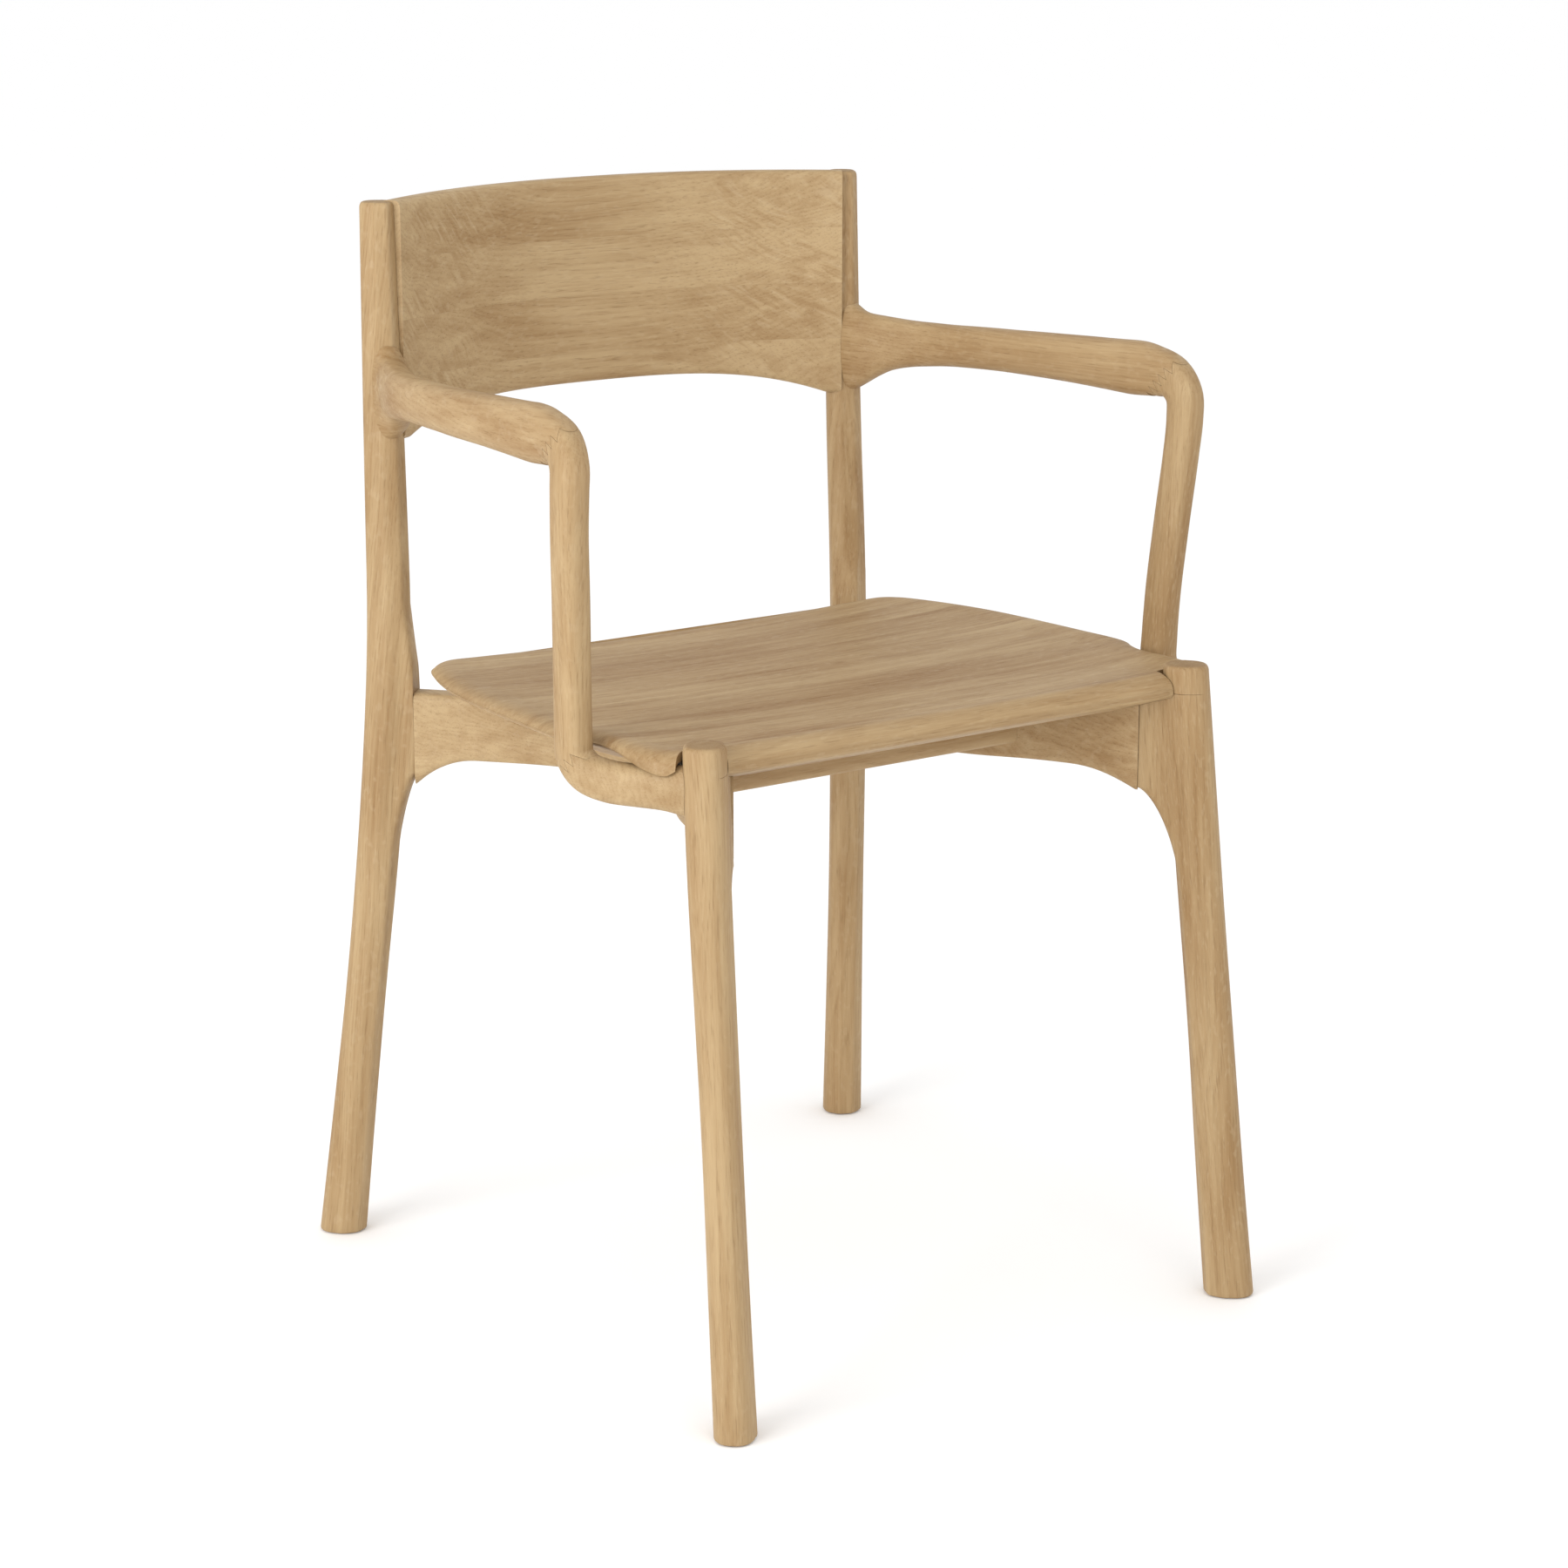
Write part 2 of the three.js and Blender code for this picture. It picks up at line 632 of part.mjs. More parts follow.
function add(name, solid, material) {
  const pieces = solid.decompose();
  let body = pieces[0];
  for (const piece of pieces) if (piece.volume() > body.volume()) body = piece;
  const mesh = body.getMesh();
  const geometry = new THREE.BufferGeometry();
  const source = mesh.vertProperties;
  const positions = new Float32Array((source.length / mesh.numProp) * 3);
  for (let i = 0; i < positions.length / 3; i++) {
    for (let k = 0; k < 3; k++) positions[i * 3 + k] = source[i * mesh.numProp + k];
  }
  geometry.setAttribute('position', new THREE.BufferAttribute(positions, 3));
  geometry.setIndex(Array.from(mesh.triVerts));
  geometry.computeVertexNormals();
  const object = new THREE.Mesh(geometry, material);
  object.name = name;
  chair.add(object);
}

function addPair(name, solid, material) {
  add(`${name}_right`, solid, material());
  add(`${name}_left`, mirrored(solid), material());
}

// Tenons and dowels, each with the mortise it needs in the pieces it joins.
const cut = (solid, ...tools) => tools.reduce((left, tool) => left.subtract(tool), solid);

const rearTenon = (grow) => tenonBar(
  inwardPoint(rearCentre, REAR_INWARD, -4 - grow),
  inwardPoint(rearCentre, REAR_INWARD, REAR_SEAM + 14 + grow),
  9 + 2 * grow, 392 - grow, 424 + grow,
);
const frontTenon = (grow) => tenonBar(
  inwardPoint(frontCentre, FRONT_INWARD, 2 - grow),
  inwardPoint(frontCentre, FRONT_INWARD, FRONT_SEAM + 9 + grow),
  9 + 2 * grow, 397 - grow, 424 + grow,
);
const armTenonLine = [v3(209.5, 207, 655), v3(217, 172, 657.5)];
const armTenon = (grow) => tenonBar(armTenonLine[0], armTenonLine[1], 9 + 2 * grow, 645 - grow, 667 + grow);
const footDowelLine = [v3(214, -203, 440.5), v3(229, -177, 438.3)];
const stretch = (line, grow) => {
  const along = line[1].clone().sub(line[0]).normalize().multiplyScalar(grow);
  return [line[0].clone().sub(along), line[1].clone().add(along)];
};
const footDowel = (grow) => bar(...stretch(footDowelLine, grow), 5 + grow);
const backDowel = (z) => (grow) => bar(...stretch([v3(172, 221.5, z), v3(205, 207, z)], grow), 4.5 + grow);
const upperBackDowel = backDowel(752);
const lowerBackDowel = backDowel(652);
const crossTenonLine = (sign) => {
  const near = sign > 0 ? railLine.getPoint(0.36) : railLine.getPoint(0.66);
  return [near.x - 34, near.x + 3];
};
const crossTenon = (sign) => (grow) => {
  const [from, to] = crossTenonLine(sign);
  return block(
    v3(from - grow, sign * CROSS_Y - 4.5 - grow, CROSS_BOTTOM + 7 - grow),
    v3(to + grow, sign * CROSS_Y + 4.5 + grow, RAIL_TOP - 7 + grow),
  );
};
const frontCrossTenon = crossTenon(-1);
const rearCrossTenon = crossTenon(1);
const screwTop = SEAT_UNDER + 15;
const screws = [-1, 1].flatMap((sy) => [-1, 1].map((sx) => [sx * CROSS_SCREW_X, sy * CROSS_Y]));
const screwHoles = screws.map(([x, y]) =>
  screwSolid(x, y, CROSS_BOTTOM - CLEAR, screwTop + 2 * CLEAR, CLEAR));

// legs
const slot = legSlot();
const seatWhole = cut(seatBoard(), slot, mirrored(slot));
const seatRoom = seatWhole.translate([0, 0, -CLEAR]);
const rearLeg = cut(rearLegShape(), rearTenon(CLEAR), armTenon(CLEAR), upperBackDowel(CLEAR),
  lowerBackDowel(CLEAR), glideSolid(REAR_LEG, CLEAR));
const frontLeg = cut(frontLegShape(), seatRoom, frontTenon(CLEAR), footDowel(CLEAR),
  glideSolid(FRONT_LEG, CLEAR));
addPair('rear_leg', rearLeg, oak);
addPair('front_leg', frontLeg, oak);

// seat rails and cross rails
const rail = cut(seatRail(), seatRoom, rearTenon(CLEAR), frontTenon(CLEAR),
  frontCrossTenon(CLEAR), rearCrossTenon(CLEAR));
addPair('seat_rail', rail, oak);
const shadow = railShadow();
const crossRails = [['front_cross_rail', -1, frontCrossTenon], ['rear_cross_rail', 1, rearCrossTenon]];
for (const [name, sign, tenon] of crossRails) {
  const mortise = tenon(CLEAR);
  const rooms = [shadow, mirrored(shadow), mortise, mirrored(mortise), ...screwHoles];
  add(name, cut(crossRail(sign), ...rooms), oak());
}

// seat
const armRoom = armWhole(ARM_ROOM);
const seat = cut(seatWhole, armRoom, mirrored(armRoom), ...screwHoles);
const seatDepth = SEAT_BACK_Y - SEAT_FRONT_Y;
for (let i = 0; i < SEAT_STAVES; i++) {
  const from = SEAT_FRONT_Y + (seatDepth * i) / SEAT_STAVES;
  const to = SEAT_FRONT_Y + (seatDepth * (i + 1)) / SEAT_STAVES;
  const low = i === 0 ? from - 20 : from + CLEAR / 2;
  const high = i === SEAT_STAVES - 1 ? to + 20 : to - CLEAR / 2;
  add(`seat_stave_${i + 1}`, seat.intersect(block(v3(-300, low, 420), v3(300, high, 480))), oak());
}

// backrest
const rearLegRoom = rearLegShape(CLEAR);
const backTools = [rearLegRoom, armWhole(CLEAR), upperBackDowel(CLEAR), lowerBackDowel(CLEAR)];
const back = cut(backBoard(), ...backTools, ...backTools.map(mirrored));
const backHeight = BACK_TOP - BACK_BOTTOM;
for (let i = 0; i < BACK_STAVES; i++) {
  const from = BACK_BOTTOM + (backHeight * i) / BACK_STAVES;
  const to = BACK_BOTTOM + (backHeight * (i + 1)) / BACK_STAVES;
  const low = i === 0 ? from - 20 : from + CLEAR / 2;
  const high = i === BACK_STAVES - 1 ? to + 20 : to - CLEAR / 2;
  add(`back_stave_${i + 1}`, back.intersect(block(v3(-300, 100, low), v3(300, 400, high))), oak());
}

// arms, parted at the upper corner and below the post
const upperKerf = fingerKerf(v3(266.6, -116, 660), v3(0, 1, 1), 42, v3(0, 1, -1));
const lowerKerf = fingerKerf(v3(257, -121.5, 446.5), v3(0, 0.68, 0.73), 28, v3(0, 0.73, -0.68));
const arm = cut(armWhole(), rearLegRoom, frontLegShape(CLEAR), armTenon(CLEAR), footDowel(CLEAR),
  upperKerf, lowerKerf);
const armPieces = arm.decompose().filter((piece) => piece.volume() > 4000);
if (armPieces.length !== 3) throw new Error('the arm falls into ' + armPieces.length + ' pieces');
armPieces.sort((a, b) => {
  const middle = (s) => (s.boundingBox().min[2] + s.boundingBox().max[2]) / 2;
  return middle(b) - middle(a);
});
['arm_rail', 'arm_post', 'arm_foot'].forEach((name, i) => addPair(name, armPieces[i], oak));

// joinery
addPair('rear_leg_tenon', rearTenon(0), beech);
addPair('front_leg_tenon', frontTenon(0), beech);
addPair('arm_back_tenon', armTenon(0), beech);
addPair('arm_foot_dowel', footDowel(0), beech);
addPair('back_dowel_upper', upperBackDowel(0), beech);
addPair('back_dowel_lower', lowerBackDowel(0), beech);
addPair('front_cross_tenon', frontCrossTenon(0), beech);
addPair('rear_cross_tenon', rearCrossTenon(0), beech);
screws.forEach(([x, y], i) =>
  add(`seat_screw_${i + 1}`, screwSolid(x, y, CROSS_BOTTOM, screwTop), steel()));
addPair('rear_glide', glideSolid(REAR_LEG), nylon);
addPair('front_glide', glideSolid(FRONT_LEG), nylon);

export default chair;
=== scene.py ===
import math

import bmesh
import bpy
import numpy as np
from mathutils import Matrix, Vector


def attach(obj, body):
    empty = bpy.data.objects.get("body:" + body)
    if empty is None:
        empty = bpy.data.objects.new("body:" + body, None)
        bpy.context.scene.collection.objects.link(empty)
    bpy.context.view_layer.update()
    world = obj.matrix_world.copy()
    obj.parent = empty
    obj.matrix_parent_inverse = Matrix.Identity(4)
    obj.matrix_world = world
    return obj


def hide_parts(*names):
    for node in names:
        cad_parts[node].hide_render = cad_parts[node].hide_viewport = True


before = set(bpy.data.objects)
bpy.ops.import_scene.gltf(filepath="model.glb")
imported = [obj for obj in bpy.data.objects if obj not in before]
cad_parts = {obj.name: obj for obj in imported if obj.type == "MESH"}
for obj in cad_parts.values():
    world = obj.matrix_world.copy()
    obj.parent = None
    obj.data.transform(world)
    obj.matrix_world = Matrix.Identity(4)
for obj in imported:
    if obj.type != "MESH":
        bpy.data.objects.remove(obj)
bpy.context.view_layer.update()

# ---- rear legs ----
# Each rear leg is one length of solid oak, about 790 mm long, shaped by a copying lathe and sanded.
# It swells inwards into a short neck that the seat rail is glued to, then runs on up as the back post.
# The wood is finished with a matte oil, so the pores stay open and the surface is hardly shiny.
MM = 0.001  # the tables below are in millimetres and Blender's unit is the metre
GLUE_GAP = 0.15  # on each side of a glued joint
SEAM_BLOCK_LENGTH, SEAM_BLOCK_HALF = 80, 60  # larger than any neck it takes away
SEAM_BLOCK_HEIGHTS = 200, 560
RAIL_TOP = 431.7
RAIL_THICK = 22

# height, centre x, centre y, width towards the seat, width across that
REAR_LEG = np.array([
    (0, 240.8, 250.4, 35.8, 31.7),
    (100, 234.1, 239.1, 32.4, 29.4),
    (200, 227.3, 227.9, 30.0, 27.4),
    (300, 220.6, 217.3, 31.4, 27.8),
    (400, 215.0, 209.2, 32.6, 28.4),
    (480, 211.6, 206.2, 32.6, 28.0),
    (600, 209.8, 210.5, 30.4, 26.6),
    (792, 208.8, 213.8, 25.8, 23.0),
])
REAR_INWARD = np.array((-math.sqrt(0.5), -math.sqrt(0.5)))
REAR_SEAM = 23  # from the leg's centre line to the rail
FOOT = 0.6  # the glide holds the leg this far off the floor
NECK_GROWTH = 68  # height over which the neck grows out of the leg
NECK_HIDDEN = 6  # the neck is shaped this much too long, then cut square at the seam
NECK_EASE = 40  # the leg's table is rounded over this much of its height
LEG_SIDE_POINTS = 34
LEG_DOME = 5  # height over which the top is rounded
# How full the leg's egg is: higher is squarer. The outer half, then the inner half's two ends.
EGG_OUTER, EGG_INNER, EGG_CHEEK = 2.4, 2.0, 1.7
NECK_MELD = 6  # how sharply the neck meets the egg


def rounded_row(table, at, reach):
    """The table's values at one station, with its corners rounded over the given reach."""
    reach = max(0, min(reach, at - table[0, 0], table[-1, 0] - at))
    near = at + np.linspace(-reach, reach, 9)
    return [np.interp(near, table[:, 0], column).mean() for column in table.T[1:]]


def leg_ring(leg, z, shrink=1.0, grow=0.0):
    """One level cut through a leg: an egg with its neck drawn out towards the seat."""
    x, y, radial, across_width = rounded_row(leg["table"], z, NECK_EASE)
    long = radial / 2
    below = min(1, max(0, leg["low"] - z) / NECK_GROWTH)
    above = min(1, max(0, z - leg["high"]) / NECK_GROWTH)
    out = (1 - below**0.6) ** 1.5 * (1 - math.sqrt(above)) ** 0.95
    if z > leg["high"] and not leg["neck_runs_up"]:
        out = 0
    hidden = 0.9 * long
    reach = hidden + (leg["seam"] + NECK_HIDDEN - hidden) * out
    tip = max(long, reach)
    walk = (np.arange(LEG_SIDE_POINTS) + 0.35) / (LEG_SIDE_POINTS - 0.3)
    share = 0.5 - 0.5 * np.cos(np.pi * walk)
    d = -long + (tip + long) * share
    egg = np.clip(1 - np.abs(d / long) ** np.where(d < 0, EGG_OUTER, EGG_INNER), 0, 1)
    body = egg ** np.where(d < 0, 1 / EGG_OUTER, 1 / EGG_CHEEK) * across_width / 2
    neck = np.where(d < 0, 0, np.clip(1 - np.clip(d / reach, 0, 1) ** 10, 0, 1) ** (1 / 3))
    neck = np.minimum(RAIL_THICK / 2 * neck, across_width / 2)
    half = ((body**NECK_MELD + neck**NECK_MELD) ** (1 / NECK_MELD) + grow) * shrink
    d = (d + np.where(share < 0.5, -grow, grow)) * shrink
    inward = leg["inward"]
    across = np.array((-inward[1], inward[0]))
    middle = np.array((x, y)) + np.outer(d, inward)
    flanks = np.vstack([middle + np.outer(half, across), (middle - np.outer(half, across))[::-1]])
    return np.column_stack([flanks, np.full(len(flanks), z)])


def leg_rings(leg, grow=0.0):
    """All levels of a leg, from the softened foot to the domed top."""
    low, high, top = leg["low"], leg["high"], leg["top"]
    squares = np.linspace(0, 1, 25) ** 2
    rings = [leg_ring(leg, FOOT - grow + up, shrink, grow)
             for up, shrink in ((0, 0.9), (0.3, 0.94), (0.9, 0.98), (1.8, 1.0))]
    levels = list(np.linspace(8, low - NECK_GROWTH, 40, endpoint=False))
    levels += list(low - NECK_GROWTH * squares[::-1]) + list(np.linspace(low, high, 10)[1:])
    if leg["neck_runs_up"]:
        levels += list(high + NECK_GROWTH * squares[1:])
        levels += list(np.linspace(high + NECK_GROWTH, top - LEG_DOME, 40, endpoint=False)[1:])
    else:
        levels += [high + 0.3]
    rings += [leg_ring(leg, z, 1.0, grow) for z in levels]
    for turn in np.linspace(0, math.pi / 2 - 0.02, 12):
        z = top - LEG_DOME * (1 - math.sin(turn))
        if z > levels[-1]:
            rings.append(leg_ring(leg, z, math.cos(turn) ** 0.16, grow))
    return rings


def solid(name, rings):
    """A closed object through rings of equal point counts, with one flat face over each end."""
    rings = np.asarray(rings, float)
    count, n = rings.shape[:2]
    points = rings.reshape(-1, 3) * MM
    faces = []
    for i in range(count - 1):
        for j in range(n):
            a, b = i * n + j, i * n + (j + 1) % n
            faces.append((a, b, b + n, a + n))
    faces += [tuple(range(n - 1, -1, -1)), tuple(range((count - 1) * n, count * n))]
    mesh = bpy.data.meshes.new(name)
    mesh.from_pydata(points.tolist(), [], faces)
    shape = bmesh.new()
    shape.from_mesh(mesh)
    bmesh.ops.recalc_face_normals(shape, faces=shape.faces)
    shape.to_mesh(mesh)
    shape.free()
    return bpy.data.objects.new(name, mesh)


def cut(piece, *tools):
    """Takes each tool's shape off the piece; a tool is never put in the scene."""
    bpy.context.scene.collection.objects.link(piece)
    for tool in tools:
        bpy.context.scene.collection.objects.link(tool)
        step = piece.modifiers.new("cut", "BOOLEAN")
        step.operation, step.solver, step.object = "DIFFERENCE", "EXACT", tool
    graph = bpy.context.evaluated_depsgraph_get()
    carved = bpy.data.meshes.new_from_object(piece.evaluated_get(graph))
    piece.modifiers.clear()
    piece.data = carved
    for used in (piece, *tools):
        bpy.context.scene.collection.objects.unlink(used)
    return piece


def mirrored(piece, name):
    """The same piece for the chair's other side."""
    mesh = piece.data.copy()
    mesh.transform(Matrix.Scale(-1, 4, (1, 0, 0)))
    mesh.flip_normals()
    return bpy.data.objects.new(name, mesh)


def prism(name, outline, low, high):
    """An upright block over a flat outline."""
    outline = np.asarray(outline, float)
    return solid(name, [np.column_stack([outline, np.full(len(outline), z)]) for z in (low, high)])


def beyond_seam(centre, inward, distance):
    """Everything further inwards than a seam, as a block to take away."""
    across = np.array((-inward[1], inward[0]))
    reach = distance + SEAM_BLOCK_LENGTH
    half = SEAM_BLOCK_HALF
    corners = [centre + inward * d + across * w
               for d, w in ((distance, -half), (reach, -half), (reach, half), (distance, half))]
    return prism("beyond_seam", corners, *SEAM_BLOCK_HEIGHTS)


def fit(piece, name, nodes, finish, sharp=32):
    """Puts a finished piece in the chair, in place of the plain nodes it stands for."""
    piece.name = name
    bpy.context.scene.collection.objects.link(piece)
    piece.data.materials.clear()
    piece.data.materials.append(finish)
    piece.data.shade_smooth()
    piece.data.set_sharp_from_angle(angle=math.radians(sharp))
    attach(piece, "root")
    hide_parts(*nodes)


def fit_pair(piece, name, finishes):
    """Puts the piece on the chair's right-hand side and its mirror image on the left."""
    right, left = finishes
    fit(mirrored(piece, "left"), f"{name}_left_oak", [f"{name}_left"], left)
    fit(piece, f"{name}_right_oak", [f"{name}_right"], right)


class Wire:
    """The output of a material node; arithmetic on it adds Math nodes."""

    def __init__(self, recipe, socket):
        self.recipe, self.socket = recipe, socket

    def sum_of(self, operation, first, second):
        return self.recipe.node("Math", "Value", {"operation": operation}, {0: first, 1: second})

    def __add__(self, other):
        return self.sum_of("ADD", self, other)

    def __sub__(self, other):
        return self.sum_of("SUBTRACT", self, other)

    def __rsub__(self, other):
        return self.sum_of("SUBTRACT", other, self)

    def __mul__(self, other):
        return self.sum_of("MULTIPLY", self, other)

    def __truediv__(self, other):
        return self.sum_of("DIVIDE", self, other)

    def __pow__(self, other):
        return self.sum_of("POWER", self, other)

    __radd__ = __add__
    __rmul__ = __mul__


class Recipe:
    """A material being made up, with its one surface shader."""

    def __init__(self, name, **constants):
        self.material = bpy.data.materials.new(name)
        self.material.use_nodes = True
        self.tree = self.material.node_tree
        self.surface = self.tree.nodes["Principled BSDF"]
        for socket, value in constants.items():
            self.surface.inputs[socket.replace("_", " ")].default_value = value

    def node(self, kind, output, settings, sockets):
        """Adds a node with its settings, then its socket values or links, and gives one output."""
        made = self.tree.nodes.new("ShaderNode" + kind)
        for key, value in settings.items():
            if key == "stops":
                for at, shade in value[1:-1]:
                    made.color_ramp.elements.new(at)
                for stop, (at, shade) in zip(made.color_ramp.elements, value):
                    stop.position, stop.color = at, (shade, shade, shade, 1)
            else:
                setattr(made, key, value)
        for key, value in sockets.items():
            if isinstance(value, Wire):
                self.tree.links.new(value.socket, made.inputs[key])
            else:
                made.inputs[key].default_value = value
        return Wire(self, made.outputs[output])

    def noise(self, place, stretch, scale, detail=2.0, output="Fac"):
        """Noise drawn out along the grain by the given stretch."""
        drawn = self.node("VectorMath", "Vector", {"operation": "MULTIPLY"}, {0: place, 1: stretch})
        return self.node("TexNoise", output, {}, {"Vector": drawn, "Scale": scale, "Detail": detail})

    def ramp(self, value, *stops):
        return self.node("ValToRGB", "Color", {"stops": stops}, {"Fac": value})

    def blend(self, share, first, second):
        """A colour between two others."""
        return self.node("Mix", 2, {"data_type": "RGBA"}, {0: share, 6: first, 7: second})

    def feed(self, socket, wire):
        self.tree.links.new(wire.socket, self.surface.inputs[socket])


OAK_PALE = (0.452, 0.322, 0.170, 1)
OAK_DEEP = (0.268, 0.153, 0.058, 1)
OAK_PORE = (0.150, 0.083, 0.031, 1)
OAK_FLECK = (0.500, 0.376, 0.225, 1)
OAK_END = (0.215, 0.128, 0.054, 1)
RING_WIDTH = 0.0034
STRIP_SHIFT = (0.05, 0.05, 0.9)  # how far the grain of one glued strip is from its neighbour's
STRIP_TONES = 0.2  # and how far apart their tones are
CURL_FADE = 0.0625  # length over which curly grain sets in


def oak(name, grain, heart, tone=0.0, strips=None, ring_width=RING_WIDTH, curl_from=None):
    """Solid oak sawn with its grain along one direction: the tree's heart stood at the given offset.

    tone darkens the piece. strips is (axis, first seam, strip width) for a glued-up board.
    curl_from is the distance from the board's middle beyond which its grain is curly.
    """
    grain = Vector(grain).normalized()
    turn = grain.rotation_difference(Vector((0, 0, 1))).to_euler()
    wood = Recipe(name, IOR=1.5, Specular_IOR_Level=0.32)
    here = wood.node("TexCoord", "Object", {}, {})
    place = wood.node("Mapping", "Vector", {"vector_type": "POINT"},
                      {"Vector": here, "Rotation": turn, "Location": heart})
    strip_tone = 0.0
    seam = None
    if strips:
        axis, first, width = strips
        height = wood.node("SeparateXYZ", axis, {}, {"Vector": here})
        counted = (height - first) / width
        number = wood.node("Math", "Value", {"operation": "FLOOR"}, {0: counted})
        jitter = wood.node("TexWhiteNoise", "Color", {"noise_dimensions": "1D"}, {"W": number})
        place = wood.node("VectorMath", "Vector", {"operation": "MULTIPLY_ADD"},
                          {0: jitter, 1: STRIP_SHIFT, 2: place})
        strip_tone = wood.node("TexWhiteNoise", "Value", {"noise_dimensions": "1D"},
                               {"W": number + 17.3}) * STRIP_TONES - STRIP_TONES / 2
        across = wood.node("Math", "Value", {"operation": "FRACT"}, {0: counted})
        seam = wood.ramp(across, (0.0, 1.0), (0.006, 0.0), (0.994, 0.0), (1.0, 1.0))

    # growth rings round the heart, wandering a little along the trunk
    wander = wood.noise(place, (7, 7, 2.2), 1.0, 2.0, "Color")
    bent = wood.node("VectorMath", "Vector", {"operation": "MULTIPLY_ADD"},
                     {0: wander, 1: (0.07, 0.07, 0), 2: place})
    flat = wood.node("VectorMath", "Vector", {"operation": "MULTIPLY"}, {0: bent, 1: (1, 1, 0)})
    radius = wood.node("VectorMath", "Value", {"operation": "LENGTH"}, {0: flat})
    uneven = wood.noise(flat, (1, 1, 1), 60.0, 1.0)
    phase = wood.node("Math", "Value", {"operation": "FRACT"}, {0: radius / ring_width + uneven * 4.2})
    spring = wood.ramp(phase, (0.0, 0.7), (0.14, 1.0), (0.5, 0.3), (0.85, 0.0), (1.0, 0.7))

    # fibres and open pores along the grain, long streaks, and the broad drift of colour
    fibre = wood.noise(place, (1, 1, 0.03), 620.0, 3.0)
    pore_noise = wood.noise(place, (1, 1, 0.05), 1300.0, 2.0)
    pores = wood.ramp(pore_noise, (0.52, 0.0), (0.66, 1.0)) * (0.2 + 0.8 * spring)
    streak = wood.noise(place, (1, 1, 0.045), 130.0, 3.0)
    band = wood.ramp(wood.noise(place, (1, 1, 0.12), 42.0, 2.0), (0.44, 0.0), (0.66, 1.0))
    drift = wood.noise(place, (1, 1, 0.3), 17.0, 2.0)
    broad = wood.ramp(drift, (0.32, 0.0), (0.68, 1.0))

    # medullary rays: thin plates standing out from the heart
    x = wood.node("SeparateXYZ", "X", {}, {"Vector": flat})
    y = wood.node("SeparateXYZ", "Y", {}, {"Vector": flat})
    z = wood.node("SeparateXYZ", "Z", {}, {"Vector": place})
    angle = wood.node("Math", "Value", {"operation": "ARCTAN2"}, {0: y, 1: x})
    plate = wood.node("CombineXYZ", "Vector", {}, {"X": angle * 0.2, "Y": radius, "Z": z})
    ray_noise = wood.noise(plate, (1, 0.16, 0.12), 1100.0, 1.0)
    rays = wood.ramp(ray_noise, (0.56, 0.0), (0.70, 1.0))

    # end grain, and a painted highlight: convex edges painted lighter and made a little less rough
    facing = wood.node("NewGeometry", "Normal", {}, {})
    end = wood.node("VectorMath", "Value", {"operation": "DOT_PRODUCT"}, {0: facing, 1: grain[:]})
    end = wood.node("Math", "Value", {"operation": "ABSOLUTE"}, {0: end}) ** 7.0
    painted_edge_highlight = wood.ramp(wood.node("NewGeometry", "Pointiness", {}, {}), (0.5, 0.0), (0.6, 1.0))

    depth = (spring * 0.11 + fibre * 0.42 + streak * 1.0 + band * 0.26 + broad * 0.34
             + (strip_tone + tone - 0.64))
    clear = wood.node("Clamp", "Result", {}, {"Value": depth})
    colour = wood.blend(clear, OAK_PALE, OAK_DEEP)
    colour = wood.blend(rays * (0.08 + broad * 0.14), colour, OAK_FLECK)
    colour = wood.blend(pores * 0.34, colour, OAK_PORE)
    if curl_from:
        # pale and dark ripples lying aslant the grain, near the board's ends
        along = wood.node("SeparateXYZ", "X", {}, {"Vector": here})
        along = wood.node("Math", "Value", {"operation": "ABSOLUTE"}, {0: along})
        reach = wood.ramp(along * 4.0, (curl_from * 4, 0.0), ((curl_from + CURL_FADE) * 4, 1.0))
        tilted = wood.node("Mapping", "Vector", {"vector_type": "POINT"},
                           {"Vector": bent, "Rotation": (0.65, 0.65, 0)})
        ripple = wood.noise(tilted, (0.12, 0.12, 1), 330.0, 2.0)
        patch = wood.ramp(wood.noise(place, (1, 1, 0.5), 26.0, 1.0), (0.40, 0.0), (0.56, 1.0)) * reach
        hollows = wood.ramp(ripple, (0.54, 0.0), (0.64, 1.0)) * patch
        crests = wood.ramp(ripple, (0.34, 1.0), (0.45, 0.0)) * patch
        colour = wood.blend(hollows * 0.34, colour, OAK_DEEP)
        colour = wood.blend(crests * 0.40, colour, OAK_FLECK)
    colour = wood.blend(end * 0.5, colour, OAK_END)
    # painted highlight: convex edges painted a little lighter, as if they caught the light
    colour = wood.blend(painted_edge_highlight * 0.16, colour, OAK_FLECK)
    if seam:
        colour = wood.blend(seam * 0.16, colour, OAK_PORE)
    wood.feed("Base Color", colour)
    wood.feed("Roughness", 0.58 + pores * 0.14 - rays * 0.08 + end * 0.1 - painted_edge_highlight * 0.06)
    relief = fibre * 0.35 - pores - spring * 0.15 + rays * 0.1
    wood.feed("Normal", wood.node("Bump", "Normal", {}, {
        "Strength": 0.45, "Distance": 0.00014, "Height": relief}))
    return wood.material


rear = {"table": REAR_LEG, "inward": REAR_INWARD, "seam": REAR_SEAM, "top": 792,
        "low": 371, "high": RAIL_TOP, "neck_runs_up": True}
RAIL_MIDDLE = 406.6
rear_centre = np.array(rounded_row(REAR_LEG, RAIL_MIDDLE, 0)[:2])


def rear_leg_shape(grow=0.0):
    return cut(solid("rear_leg", leg_rings(rear, grow)),
               beyond_seam(rear_centre, REAR_INWARD, REAR_SEAM))


rear_leg = rear_leg_shape()
rear_oak = [oak("oak_rear_leg_right", (-0.05, -0.09, 1), (0.31, 0.045, 0.0), 0.17),
            oak("oak_rear_leg_left", (0.05, -0.09, 1), (-0.16, 0.10, 0.7), 0.05)]
fit_pair(rear_leg, "rear_leg", rear_oak)

